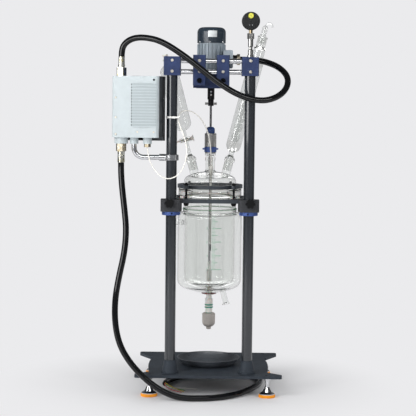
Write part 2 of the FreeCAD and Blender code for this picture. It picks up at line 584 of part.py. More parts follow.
def lid():
    """The glass lid with a centre neck, two leaning side necks, a far neck and a small probe neck."""
    crown = "lid_crown"
    rise = "sqrt((%s - lid_knuckle)^2 - (lid_r - lid_knuckle)^2)" % crown
    joint = ("(lid_r - lid_knuckle) * %s / (%s - lid_knuckle)" % (crown, crown),
             "lid_wall_top + lid_knuckle * %s / (%s - lid_knuckle)" % (rise, crown))
    root = ("centre_r + 8", "lid_wall_top - %s + sqrt(%s^2 - (centre_r + 8)^2)" % (rise, crown))
    form = lathe("lid_outside", [("0", "0"), ("flange_r", "0"), ("flange_r", "flange_t"),
                                 ("lid_r + lid_fillet", "flange_t"),
                                 ("lid_r", "flange_t + 6", "8", -1), ("lid_r", "lid_wall_top"),
                                 joint + ("lid_knuckle",), root + (crown,),
                                 ("centre_r", root[1] + " + 10", "10", -1),
                                 ("centre_r", "centre_top - lip_t - 4"),
                                 ("centre_lip_r", "centre_top - lip_t"), ("centre_lip_r", "centre_top"),
                                 ("0", "centre_top")])
    glass = "glass_t"
    inner_r = "(lid_r - glass_t)"
    inner_knuckle = "(lid_knuckle - glass_t)"
    inner_crown = "(lid_crown - glass_t)"
    inner_joint = ("(%s - %s) * %s / (%s - %s)" % (inner_r, inner_knuckle, inner_crown, inner_crown,
                                                   inner_knuckle),
                   "lid_wall_top + %s * %s / (%s - %s)" % (inner_knuckle, rise, inner_crown, inner_knuckle))
    bore = "(centre_r - centre_wall)"
    top = (bore, "lid_wall_top - %s + sqrt(%s^2 - %s^2)" % (rise, inner_crown, bore))
    hollow = lathe("lid_hollow", [("0", "-1"), ("inner_r - %s + 1" % glass, "-1"),
                                  ("inner_r - %s + 1" % glass, "4"), (inner_r, "10"),
                                  (inner_r, "lid_wall_top"), inner_joint + (inner_knuckle,),
                                  top + (inner_crown,), (bore, "centre_top + 1"), ("0", "centre_top + 1")])
    walls = [form]
    hollows = [hollow]
    necks = (("left", "-side_x", "0", Rotation(Vector(0, 1, 0), -value("side_tilt"))),
             ("right", "side_x", "0", Rotation(Vector(0, 1, 0), value("side_tilt"))),
             ("far", "0", "far_y", Rotation(Vector(1, 0, 0), -value("side_tilt"))))
    for name, x, y, turn in necks:
        wall = lathe("neck_wall_" + name, [("0", "-24"), ("side_r", "-24"), ("side_r", "side_l - 10"),
                                           ("side_lip_r", "side_l - 5"), ("side_lip_r", "side_l"),
                                           ("0", "side_l")])
        walls.append(shift(wall, x, y, "side_z", turn))
        hollows.append(rod("neck_bore_" + name, "side_bore_r", "side_l + 60", x, y, "side_z", turn))
    walls.append(rod("probe_neck", "probe_neck_r", "probe_neck_top - lid_wall_top + 6", "probe_x",
        "-probe_y",
                     "lid_wall_top - 6"))
    hollows.append(rod("probe_bore", "probe_neck_bore", "probe_neck_top", "probe_x", "-probe_y",
        "lid_wall_top - 8"))
    glass_lid = carved("lid_glass", joined("lid_form", walls), hollows)
    keep(place(glass_lid, z=LID_SEAT), "lid")


def lean(side):
    """The turn of a piece that stands in a leaning neck."""
    return Rotation(Vector(0, 1, 0), side * value("side_tilt"))


def probe():
    """The sheathed temperature probe and its cap in the small neck."""
    top = LID_SEAT + " + probe_neck_top"
    length = top + " - probe_end"
    form = lathe("probe_form", [("0", "-(%s)" % length), ("probe_r", "-(%s)" % length), ("probe_r", "-16"),
                                ("probe_neck_bore", "-16"), ("probe_neck_bore", "0"), ("probe_cap_r", "0"),
                                ("probe_cap_r", "probe_cap_h - 4"), ("probe_cap_r - 4", "probe_cap_h"),
                                ("0", "probe_cap_h")])
    keep(place(form, "probe_x", "-probe_y", top), "probe")


def funnel():
    """The dropping funnel in the left neck, with its stopcock key."""
    wall = "funnel_wall"
    foot = LID_SEAT + " + side_z"
    form = lathe("funnel_outside",
                 [("0", "28"), ("side_bore_r", "28"), ("side_bore_r", "side_l"), ("side_lip_r", "side_l"),
                  ("side_lip_r", "side_l + 5"), ("funnel_tube_r", "side_l + 24"),
                  ("funnel_tube_r", "funnel_low"),
                  ("funnel_r", "funnel_full", "funnel_r * 0.95"), ("funnel_r", "funnel_end"),
                  ("funnel_neck_r", "funnel_neck_z", "funnel_r * 0.95"), ("funnel_neck_r", "funnel_top - 5"),
                  ("funnel_neck_r + 2.5", "funnel_top - 3"), ("funnel_neck_r + 2.5", "funnel_top"),
                  ("0", "funnel_top")])
    hollow = lathe("funnel_hollow",
                   [("0", "27"), ("funnel_tube_r - %s" % wall, "27"),
                   ("funnel_tube_r - %s" % wall, "funnel_low"),
                    ("funnel_r - %s" % wall, "funnel_full + 1", "funnel_r * 0.95"),
                    ("funnel_r - %s" % wall, "funnel_end - 1"),
                    ("funnel_neck_r - %s" % wall, "funnel_neck_z - 3", "funnel_r * 0.95"),
                    ("funnel_neck_r - %s" % wall, "funnel_top + 1"), ("0", "funnel_top + 1")])
    barrel = rod("barrel", "barrel_r", "barrel_l", "-barrel_l / 2", "0", "cock_z", ALONG_X)
    barrel_bore = rod("barrel_bore", "key_r", "barrel_l + 2", "-barrel_l / 2 - 1", "0", "cock_z", ALONG_X)
    glass = carved("funnel_glass", joined("funnel_form", [form, barrel]), [hollow, barrel_bore])
    keep(place(glass, "-side_x", "0", foot, lean(-1)), "dropping_funnel")

    reach = "barrel_l / 2"
    key = lathe("key_form", [("0", "-(%s) - 22" % reach), ("4", "-(%s) - 22" % reach),
        ("4", "-(%s) - 6" % reach),
                             ("key_knob_r", "-(%s) - 6" % reach),
                             ("key_knob_r", "-(%s) - running_gap" % reach),
                             ("key_r - running_fit", "-(%s) - running_gap" % reach),
                             ("key_r - running_fit", "%s + running_gap" % reach),
                             ("key_knob_r", "%s + running_gap" % reach),
                             ("key_knob_r", "%s + 9" % reach), ("0", "%s + 9" % reach)])
    grip = slab("key_grip", "5", box_profile("14", "6", "2"))
    grip = shift(grip, "0", "0", "%s + 8" % reach)
    key_set = joined("key_joined", [key, grip])
    turn = lean(-1) * ALONG_X
    keep(place(key_set, "-side_x - sin(side_tilt) * cock_z", "0", foot + " + cos(side_tilt) * cock_z", turn),
         "funnel_key")


def stoppers():
    """Ground stoppers in the dropping funnel and in the far neck."""
    foot = LID_SEAT + " + side_z"
    plug_r = "funnel_neck_r - funnel_wall"
    small = lathe("funnel_stopper", [("0", "-20"), (plug_r, "-20"), (plug_r, "0"), ("stopper_r", "0"),
                                     ("stopper_r", "5"), ("stopper_r - 4", "9"), ("stopper_r - 4", "12"),
                                     ("stopper_r", "stopper_h - 5"), ("stopper_r", "stopper_h"),
                                     ("0", "stopper_h")])
    place(small, "-side_x - sin(side_tilt) * funnel_top", "0", foot + " + cos(side_tilt) * funnel_top",
        lean(-1))
    big = lathe("far_stopper", [("0", "-30"), ("side_bore_r", "-30"), ("side_bore_r", "0"),
        ("side_lip_r", "0"),
                                ("side_lip_r", "6"), ("stopper_r - 2", "11"), ("stopper_r - 2", "16"),
                                ("side_bore_r", "26"), ("side_bore_r", "34"), ("0", "34")])
    place(big, "0", "far_y + sin(side_tilt) * side_l", foot + " + cos(side_tilt) * side_l",
          Rotation(Vector(1, 0, 0), -value("side_tilt")))
    keep(together("stopper_pair", [small, big]), "stoppers")


def condenser():
    """The reflux condenser in the right neck, with a bulbed inner tube, and the bent gas adapter."""
    foot = LID_SEAT + " + side_z"
    form = lathe("cond_outside",
                 [("0", "28"), ("side_bore_r", "28"), ("side_bore_r", "side_l"), ("side_lip_r", "side_l"),
                  ("side_lip_r", "side_l + 5"), ("cond_tube_r", "side_l + 22"), ("cond_tube_r", "cond_low"),
                  ("cond_r", "cond_full", "cond_r * 1.2"), ("cond_r", "cond_end"),
                  ("cond_head_r", "cond_head_z", "cond_r"), ("cond_head_r", "cond_head_end - 6"),
                  ("cond_socket_r", "cond_head_end + 6"), ("cond_socket_r", "cond_top - 6"),
                  ("cond_socket_r + 2", "cond_top - 4"), ("cond_socket_r + 2", "cond_top"),
                  ("0", "cond_top")])
    bulbs = 8
    span = "((cond_end - cond_full - 20) / %d)" % bulbs
    gap = [("cond_inner_r", "cond_full + 10")]
    gap += [("cond_r - cond_wall", "cond_full + 10"), ("cond_r - cond_wall", "cond_end - 4")]
    gap += [("cond_inner_r", "cond_end - 4")]
    for number in range(bulbs, 0, -1):
        low = "cond_full + 12 + %s * %d" % (span, number - 1)
        gap.append(("cond_inner_r", low + " + %s - 4" % span))
        gap.append(("cond_inner_r", low, "%s * 0.62" % span, -1))
    jacket = lathe("cond_gap", gap)
    inside = [("0", "27"), ("cond_inner_r - cond_wall", "27")]
    for number in range(bulbs):
        low = "cond_full + 12 + %s * %d" % (span, number)
        inside.append(("cond_inner_r - cond_wall", low))
        inside.append(("cond_inner_r - cond_wall", low + " + %s - 4" % span, "%s * 0.62" % span))
    inside += [("cond_inner_r - cond_wall", "cond_end + 2"), ("cond_head_r - cond_wall", "cond_head_z + 6"),
               ("cond_head_r - cond_wall", "cond_head_end - 8"), ("adapter_r - 1", "cond_head_end + 4"),
               ("adapter_r - 1", "cond_top + 1"), ("0", "cond_top + 1")]
    bore = lathe("cond_bore", inside)
    nozzles = []
    nozzle_bores = []
    for number, level in enumerate(("cond_full + cond_port_in", "cond_end - cond_port_in")):
        nozzles.append(rod("cond_nozzle_%d" % number, "cond_port_r", "cond_r + cond_port_l", "0", "0", level,
                           TO_FRONT))
        nozzle_bores.append(rod("cond_nozzle_bore_%d" % number, "cond_port_bore",
            "cond_port_l + cond_wall * 2",
                                "0", "cond_r - cond_wall * 1.5", level, TO_FRONT))
    inner = rod("cond_keep_out", "cond_r - cond_wall", "cond_end - cond_full - 14", z="cond_full + 10")
    stubs = carved("cond_stubs", joined("cond_stub_pair", nozzles), [inner])
    glass = carved("cond_glass", joined("cond_form", [form, stubs]), [jacket, bore] + nozzle_bores)
    keep(place(glass, "side_x", "0", foot, lean(1)), "condenser")

    sleeve = lathe("adapter_form", [("0", "cond_top - 30"), ("adapter_r - 1", "cond_top - 30"),
                                    ("adapter_r - 1", "cond_top"), ("adapter_r + 3", "cond_top"),
                                    ("adapter_r + 3", "cond_top + 4"), ("adapter_r", "cond_top + 8"),
                                    ("adapter_r", "adapter_top - 14"), ("hook_r", "adapter_top", "14"),
                                    ("hook_r", "adapter_top + 4"), ("0", "adapter_top + 4")])
    bend = value("hook_bend")
    start = Vector(0, 0, value("adapter_top"))
    top = start + Vector(bend, 0, bend)
    middle = start + Vector(bend - bend * math.cos(math.pi / 4), 0, bend * math.sin(math.pi / 4))
    end = start + Vector(bend * 2, 0, 0)
    after = start + Vector(bend + bend * math.cos(math.pi / 4), 0, bend * math.sin(math.pi / 4))
    path = Part.Wire([Part.Arc(start, middle, top).toShape(), Part.Arc(top, after, end).toShape()])
    mouth = Part.Wire(Part.Circle(start, Vector(0, 0, 1), value("hook_r")).toShape())
    hook = doc.addObject("Part::Feature", "hook")
    hook.Shape = path.makePipeShell([mouth], True, True)
    hollow = lathe("adapter_hollow", [("0", "cond_top - 31"), ("adapter_bore_r", "cond_top - 31"),
                                      ("adapter_bore_r", "adapter_top - 14"), ("0", "adapter_top - 8")])
    adapter = carved("adapter_glass", joined("adapter_joined", [sleeve, hook]), [hollow])
    keep(place(adapter, "side_x", "0", foot, lean(1)), "gas_adapter")


def shaft_seal():
    """The seal on the centre neck that the shaft turns in: body, lower ring and cap."""
    bore = "shaft_r + running_fit"
    body = lathe("seal_body_form", [(bore, "0"), ("seal_low_r", "0"),
        ("seal_low_r", "seal_ring_lift + seal_ring_h"),
                                    ("seal_r", "seal_ring_lift + seal_ring_h + 2"), ("seal_r", "seal_h - 3"),
                                    ("seal_r - 3", "seal_h", "3"), (bore, "seal_h")])
    keep(place(body, z=CENTRE_TOP), "seal_body")
    ring = slab("seal_ring_form", "seal_ring_h", None, [("0", "0", "seal_ring_r"), ("0", "0", "seal_low_r")])
    ears = []
    for sign, low, high in (("left", "-seal_ear_x", "-seal_low_r - 1"),
        ("right", "seal_low_r + 1", "seal_ear_x")):
        ears.append(shift(slab("seal_ear_" + sign, "7", rectangle(low, high, "-9", "9")),
            z="seal_ring_h - 12"))
    ring_set = joined("seal_ring_joined", [ring] + ears)
    keep(place(ring_set, z=CENTRE_TOP + " + seal_ring_lift"), "seal_ring")
    cap = lathe("seal_cap_form", [("shaft_r + 1", "0"), ("seal_cap_r", "0"),
        ("seal_cap_r", "seal_cap_h - 8"),
                                  ("seal_cap_r - 3", "seal_cap_h - 4"), ("seal_cap_r - 7", "seal_cap_h"),
                                  ("shaft_r + 1", "seal_cap_h")])
    keep(place(cap, z=CENTRE_TOP + " + seal_h"), "seal_cap")


def drain_valve():
    """The valve under the vessel: seals, body, plunger and knob, with heights down from the boss."""
    foot = "(-valve_h)"
    waist = "(-valve_neck_h - valve_wide_h)"
    stem_bore = "stem_r + running_fit"
    hollow_end = "(-valve_plug_h + 26 - valve_neck_h - valve_wide_h)"
    body = lathe("valve_form", [(stem_bore, foot), ("valve_low_r", foot), ("valve_low_r", waist + " - 4"),
                                ("valve_r", waist), ("valve_r", "-valve_neck_h - 3"),
                                ("valve_neck_r", "-valve_neck_h + 2"), ("valve_neck_r", "-5"),
                                ("seal_mid_r + 3", "-4"),
                                ("seal_mid_r + 3", "0"), ("drain_bore_r", "0"), ("drain_bore_r", hollow_end),
                                (stem_bore, hollow_end)])
    keep(place(body, z=BOSS_Z), "drain_body")
    rings = [place(lathe("boss_seal", rectangle("seal_mid_r - 1.5", "seal_mid_r + 1.5", "0", "3")),
        z=BOSS_Z)]
    for number, drop in enumerate(("9", "20"), start=1):
        level = waist + " - " + drop
        ring = lathe("valve_ring_%d" % number, rectangle("valve_low_r", "valve_ring_r", level,
            level + " + valve_ring_h"))
        rings.append(place(ring, z=BOSS_Z))
    low = lathe("valve_foot_seal", rectangle(stem_bore, "valve_low_r - 2", foot + " - seal_t", foot))
    rings.append(place(low, z=BOSS_Z))
    keep(together("valve_rings", rings), "drain_rings")

    knob_top = "(%s - seal_t - running_gap)" % foot
    knob = lathe("valve_knob_form",
                 [("0", knob_top + " - valve_knob_h - nub_h"),
                 ("nub_r - 2", knob_top + " - valve_knob_h - nub_h"),
                  ("nub_r", knob_top + " - valve_knob_h - nub_h + 2"),
                  ("nub_r", knob_top + " - valve_knob_h"),
                  ("valve_knob_r * 0.62", knob_top + " - valve_knob_h"),
                  ("valve_knob_r", knob_top + " - valve_knob_h + 18", "26"),
                  ("valve_knob_r", knob_top + " - 4"),
                  ("valve_knob_r - 4", knob_top), (stem_bore, knob_top), (stem_bore, knob_top + " - 42"),
                  ("0", knob_top + " - 42")])
    keep(place(knob, z=BOSS_Z), "drain_knob")
    low_end = knob_top + " - 26"
    plug_low = "(drain_bore_r * 3 - valve_plug_h)"
    stem = lathe("valve_stem_form", [("0", low_end), ("stem_r", low_end), ("stem_r", plug_low),
                                     ("drain_bore_r - running_fit", plug_low),
                                     ("drain_bore_r - running_fit", plug_low + " + valve_plug_h - 4"),
                                     ("drain_bore_r - 5", plug_low + " + valve_plug_h"),
                                     ("0", plug_low + " + valve_plug_h")])
    keep(place(stem, z=BOSS_Z), "drain_stem")


def stirrer():
    """Motor shaft, coupling with its thumb screws, stirrer shaft and paddle."""
    form = lathe("coupling_form", [("shaft_r", "coupling_low"), ("coupling_low_r", "coupling_low"),
                                   ("coupling_low_r", "coupling_mid"), ("coupling_r", "coupling_mid + 2"),
                                   ("coupling_r", "coupling_step - 2"), ("coupling_top_r", "coupling_step"),
                                   ("coupling_top_r", "coupling_top"), ("motor_shaft_r", "coupling_top"),
                                   ("motor_shaft_r", "coupling_step - 24"),
                                   ("shaft_r", "coupling_step - 24")])
    middle = "(coupling_mid + 29)"
    sights = [rod("sight_%d" % number, "sight_r", "coupling_r * 2 + 2", "0", "coupling_r + 1",
                  "%s + %s" % (middle, lift), TO_POSTS) for number, lift in enumerate(("-7", "7"), start=1)]
    threads = [rod("wing_thread_" + name, "wing_stud_r", "coupling_low_r + 1", "0", "0", "wing_z", turn)
               for name, turn in (("left", AGAINST_X), ("right", ALONG_X))]
    keep(place(carved("coupling_cut", form, sights + threads)), "coupling")

    wings = []
    for name, turn in (("left", AGAINST_X), ("right", ALONG_X)):
        stud = rod("wing_stud_" + name, "wing_stud_r", "coupling_low_r + 4 - shaft_r", z="shaft_r")
        blade = shift(slab("wing_blade_" + name, "wing_l", box_profile("wing_h / 2", "wing_t / 2", "1")),
                      z="coupling_low_r + 1")
        wings.append(place(joined("wing_" + name, [stud, blade]), z="wing_z", turn=turn))
    keep(together("wings", wings), "thumb_screws")

    shaft = rod("shaft_rod", "shaft_r", "coupling_step - 24 - shaft_end", z="shaft_end")
    drive_shaft = rod("drive_rod", "motor_shaft_r", SHELF_TOP + " + 60 - coupling_step + 24",
        z="coupling_step - 24")
    keep(place(together("shaft_pair", [shaft, drive_shaft])), "stirrer_shaft")

    hub = lathe("paddle_hub", [("shaft_r", "0"), ("hub_r", "0"), ("hub_r", "hub_h - 4"),
        ("hub_r - 4", "hub_h"),
                               ("hub_neck_r", "hub_h"), ("hub_neck_r", "hub_h + hub_neck_h"),
                               ("shaft_r", "hub_h + hub_neck_h")])
    tip = "hub_r - 1 + blade_l - 12"
    blade = slab("paddle_blade", "blade_t", [("hub_r - 1", "6"), (tip, "2"),
        ("hub_r - 1 + blade_l", "14", "12"),
                                             ("hub_r - 1 + blade_l", "blade_h - 4"),
                                             (tip, "blade_h + 6", "12"),
                                             ("hub_r - 1", "blade_h + 2")], plane="YZ_Plane")
    mate = slab("paddle_mate", "blade_t", [("hub_r - 1", "6"), (tip, "2"),
        ("hub_r - 1 + blade_l", "14", "12"),
                                           ("hub_r - 1 + blade_l", "blade_h - 4"),
                                           (tip, "blade_h + 6", "12"),
                                           ("hub_r - 1", "blade_h + 2")], plane="YZ_Plane")
    shift(blade, "-blade_t / 2")
    shift(mate, "blade_t / 2", turn=Rotation(Vector(0, 0, 1), 180))
    keep(place(joined("paddle_form", [hub, blade, mate]), z="shaft_end"), "paddle")


def drive_head():
    """Cross rods, corner blocks on the posts, motor blocks on the rods, and the motor's bracket."""
    rods = [place(rod("head_rod_" + name, "rod_r", "rod_half * 2", turn=ALONG_X), "-rod_half", "-rod_y",
        level, ALONG_X)
            for name, level in (("high", "rod_hi"), ("low", "rod_lo"))]
    keep(together("rod_pair", rods), "head_rods")

    corner_blocks = []
    motor_blocks = []
    screws = []
    half = "block_w / 2"
    for side, sign in SIDES:
        profile = [("-%s + edge_r" % half, "-block_front"), (half + " - edge_r", "-block_front"),
                   (half, "-block_front + edge_r", "edge_r"), (half, "block_back"),
                   ("-" + half, "block_back"),
                   ("-" + half, "-block_front + edge_r")]
        profile[0] = profile[0] + ("edge_r",)
        form = slab("corner_form_" + side, "block_h", profile)
        tools = [rod("corner_post_bore_" + side, "post_r", "post_top - block_z")]
        for name, level in (("high", "rod_hi"), ("low", "rod_lo")):
            inner_end = "rod_half - post_x"
            start = "-(%s)" % inner_end if side == "left" else "-%s - 1" % half
            length = "%s + %s + 1" % (half, inner_end)
            tools.append(rod("corner_rod_bore_%s_%s" % (side, name), "rod_r", length, start,
                "post_back - rod_y",
                             level + " - block_z", ALONG_X))
            tools.append(rod("corner_screw_bore_%s_%s" % (side, name), "screw_r", "block_front - post_r",
                "0",
                             "-post_r", level + " - block_z", TO_POSTS))
            screw = cap_screw("corner_screw_%s_%s" % (side, name), "screw_r", "block_front - post_r",
                              "screw_head_r", "screw_head_h")
            screws.append(place(screw, sign + " * post_x", "-post_back - block_front", level, TO_POSTS))
        block = carved("corner_block_" + side, form, tools)
        corner_blocks.append(place(block, sign + " * post_x", "-post_back", "block_z"))

        body = slab("motor_block_form_" + side, "mblock_h",
            box_profile("mblock_w / 2", "mblock_d", "edge_r"))
        tools = []
        for name, level in (("high", "rod_hi"), ("low", "rod_lo")):
            tools.append(rod("motor_rod_bore_%s_%s" % (side, name), "rod_r", "mblock_w + 2",
                "-mblock_w / 2 - 1",
                             "0", level + " - mblock_z", ALONG_X))
            tools.append(rod("motor_screw_bore_%s_%s" % (side, name), "screw_r", "mblock_d - rod_r", "0",
                "-rod_r",
                             level + " - mblock_z", TO_POSTS))
            screw = cap_screw("motor_screw_%s_%s" % (side, name), "screw_r", "mblock_d - rod_r",
                "screw_head_r",
                              "screw_head_h")
            screws.append(place(screw, sign + " * mblock_x", "-rod_y - mblock_d", level, TO_POSTS))
        tools.append(rod("bracket_screw_bore_" + side, "big_screw_r", "mblock_d * 2 + 2", "0",
            "mblock_d + 1",
                         "bracket_z + bracket_h / 2 - mblock_z", TO_POSTS))
        block = carved("motor_block_" + side, body, tools)
        motor_blocks.append(place(block, sign + " * mblock_x", "-rod_y", "mblock_z"))
        screw = cap_screw("bracket_screw_" + side, "big_screw_r", "mblock_d * 2 + bracket_t", "big_head_r",
            "big_head_h")
        screws.append(place(screw, sign + " * mblock_x", "-rod_y - mblock_d", "bracket_z + bracket_h / 2",
            TO_POSTS))
    keep(together("corner_pair", corner_blocks), "corner_blocks")
    keep(together("motor_pair", motor_blocks), "motor_blocks")

    face = "(-rod_y + mblock_d)"
    wall = slab("bracket_wall", "bracket_h", rectangle("-bracket_x", "bracket_x", face,
        face + " + bracket_t"))
    shelf = slab("bracket_shelf", "shelf_t", rectangle("-shelf_x", "shelf_x", face, "shelf_y"),
                 [("0", "0", "shelf_hole_r")])
    gussets = []
    for side, sign in SIDES:
        gusset = slab("gusset_" + side, "gusset_t",
            [(face + " + bracket_t", "shelf_t"), (face + " + 54", "shelf_t"),
                                                     (face + " + bracket_t", "bracket_h")], plane="YZ_Plane")
        gussets.append(shift(gusset, sign + " * (shelf_x - gusset_t / 2) - gusset_t / 2"))
    holes = [rod("bracket_bore_" + side, "big_screw_r", "bracket_t + 2", sign + " * mblock_x",
                 face + " + bracket_t + 1", "bracket_h / 2", TO_POSTS) for side, sign in SIDES]
    bracket = carved("bracket_cut", joined("bracket_form", [wall, shelf] + gussets), holes)
    keep(place(bracket, z="bracket_z"), "motor_bracket")
    return screws


def terminal_form(name):
    """The terminal box's case, its inner side cut to the round of the motor."""
    case = slab(name, "tbox_h", rectangle("tbox_x", "tbox_x + tbox_w", "-tbox_front", "-tbox_back"))
    return carved(name + "_saddle", case, [rod(name + "_round", "motor_r", "tbox_h")])


def motor():
    """The geared motor: finned body, fan cowl, terminal box and cable gland."""
    bore = "motor_shaft_r + running_fit"
    body = lathe("motor_form", [(bore, "0"), ("motor_flange_r", "0"), ("motor_flange_r", "motor_flange_t"),
                                ("motor_r - 6", "motor_flange_t + 6"),
                                ("motor_r - 6", "motor_flange_t + 14"),
                                ("motor_r", "motor_flange_t + 20"), ("motor_r", "motor_h"), ("0", "motor_h"),
                                ("0", "62"), (bore, "62")])
    fin_sketch = new_sketch(body, "fin_outline", "XZ_Plane")
    outline(fin_sketch, rectangle("motor_r - 2", "motor_r + fin_h", "motor_flange_t + 24", "motor_h - 6"))
    fin = body.newObject("PartDesign::Pad", "fin")
    fin.Profile = fin_sketch
    fin.Midplane = True
    drive(fin, "Length", "fin_t")
    fins = body.newObject("PartDesign::PolarPattern", "fins")
    fins.Originals = [fin]
    fins.Axis = (fin_sketch, ["V_Axis"])
    fins.Angle = 360
    drive(fins, "Occurrences", "fin_count")
    body.Tip = fins
    room = shift(terminal_form("terminal_room"), z="tbox_z - " + SHELF_TOP)
    keep(place(carved("motor_cut", body, [room]), z=SHELF_TOP), "motor_body")

    edge = "cowl_edge"
    cowl = lathe("cowl_form", [("0", "0"), ("cowl_r", "0"), ("cowl_r", "cowl_h - " + edge),
                               ("cowl_r - " + edge, "cowl_h", edge), ("0", "cowl_h")])
    slot_sketch = new_sketch(cowl, "vent_outline", "XZ_Plane")
    outline(slot_sketch, rectangle("cowl_r - 44", "cowl_r - 26", "cowl_h - 5", "cowl_h + 5"))
    slot = cowl.newObject("PartDesign::Pocket", "vent")
    slot.Profile = slot_sketch
    slot.Midplane = True
    drive(slot, "Length", "5")
    vents = cowl.newObject("PartDesign::PolarPattern", "vents")
    vents.Originals = [slot]
    vents.Axis = (slot_sketch, ["V_Axis"])
    vents.Angle = 360
    drive(vents, "Occurrences", "vent_count")
    cowl.Tip = vents
    keep(place(cowl, z=SHELF_TOP + " + motor_h"), "motor_cowl")

    flange = shift(slab("terminal_flange", "tbox_h - 6",
        rectangle("tbox_x + tbox_w - 8", "tbox_x + tbox_w + 2",
                                                                   "-tbox_front - 3", "-tbox_back + 3")),
                                                                   z="3")
    box = joined("terminal_joined", [terminal_form("terminal_case"), flange])
    keep(place(box, z="tbox_z"), "terminal_box")
    start = "(tbox_x + tbox_w + 2)"
    gland = lathe("gland_form", [("0", "0"), ("gland_r", "0"), ("gland_r", "gland_l * 0.4"),
                                 ("gland_r - 2", "gland_l * 0.45"), ("gland_r - 2", "gland_l * 0.6"),
                                 ("gland_r", "gland_l * 0.65"), ("gland_r", "gland_l"), ("0", "gland_l")])
    keep(place(gland, start, "-gland_y", "gland_z", ALONG_X), "motor_gland")


def gauge():
    """The vacuum gauge on the right post: case, lens, needle, relief plug, valve and stem."""
    base = BLOCK_TOP
    column = lathe("gauge_valve_form", [("0", "0"), ("hex_r - 1", "0"), ("hex_r - 1", "8"),
        ("gauge_valve_r", "10"),
                                        ("gauge_valve_r", "30"), ("gauge_valve_r - 3", "34"),
                                        ("gauge_valve_r - 3", "42"),
                                        ("gauge_valve_r", "46"), ("gauge_valve_r", "gauge_valve_h"),
                                        ("0", "gauge_valve_h")])
    nut = hexagon("gauge_hex", "hex_r", "hex_h", z="gauge_valve_h")
    stem = rod("gauge_stem", "gauge_stem_r", "gauge_stem_l", z="gauge_valve_h + hex_h")
    keep(place(joined("gauge_column", [column, nut, stem]), "post_x", "-post_back", base), "gauge_valve")

    half = "gauge_d / 2"
    case = lathe("gauge_case_form", [("0", half + " - gauge_wall * 4"),
        ("gauge_r - gauge_wall", half + " - gauge_wall * 4"),
                                     ("gauge_r - gauge_wall", "-" + half), ("gauge_r", "-" + half),
                                     ("gauge_r", half + " - 4"), ("gauge_r - 4", half, "4"), ("0", half)])
    hole = rod("relief_bore", "plug_r - 3", "gauge_wall * 4", "0", "plug_up", half + " - gauge_wall * 2")
    foot_cut = rod("gauge_foot_bore", "gauge_stem_r", "gauge_r", "0", "-" + GAUGE_FOOT, "0", TO_POSTS)
    turn = TO_POSTS
    keep(place(carved("gauge_case_cut", case, [hole, foot_cut]), "post_x", "-post_back", GAUGE_Z, turn),
         "gauge_case")
    plug = lathe("relief_form", [("0", "-gauge_wall * 2"), ("plug_r - 3", "-gauge_wall * 2"),
        ("plug_r - 3", "0"),
                                 ("plug_r", "0"), ("plug_r", "plug_out - 2"),
                                 ("plug_r - 2", "plug_out", "2"),
                                 ("3.5", "plug_out"), ("3.5", "plug_out - 3"), ("0", "plug_out - 3")])
    keep(place(plug, "post_x", "-post_back - " + half, GAUGE_Z + " + plug_up", turn), "relief_plug")
    lens = lathe("lens_form", [("0", "-" + half), ("gauge_r - gauge_wall", "-" + half),
                               ("gauge_r - gauge_wall", "-%s + lens_t" % half),
                               ("0", "-%s + lens_t" % half)])
    place(lens, "post_x", "-post_back", GAUGE_Z, turn)
    pin = lathe("needle_pin", rectangle("0", "3", "-6", "-running_gap"))
    hand = slab("needle_hand", "1.2", [("-2.5", "-10"), ("2.5", "-10"), ("0.6", "needle_l"),
        ("-0.6", "needle_l")])
    shift(hand, "0", "0", "-5")
    resting = turn * Rotation(Vector(0, 0, 1), -value("needle_sweep") / 2)
    keep(place(joined("needle_form", [pin, hand]), "post_x", "-post_back - %s + gauge_wall * 4" % half,
        GAUGE_Z,
               resting), "gauge_needle")
    return lens


def on_box(piece, x, y, z, turn=None):
    """Put a piece at a place in the control box's own turned frame."""
    yaw = Rotation(Vector(0, 0, 1), -value("box_yaw"))
    turn = yaw * turn if turn else yaw
    return place(piece, "-box_x + (%s) * cos(box_yaw) + (%s) * sin(box_yaw)" % (x, y),
                 BOX_Y + " - (%s) * sin(box_yaw) + (%s) * cos(box_yaw)" % (x, y), z, turn)


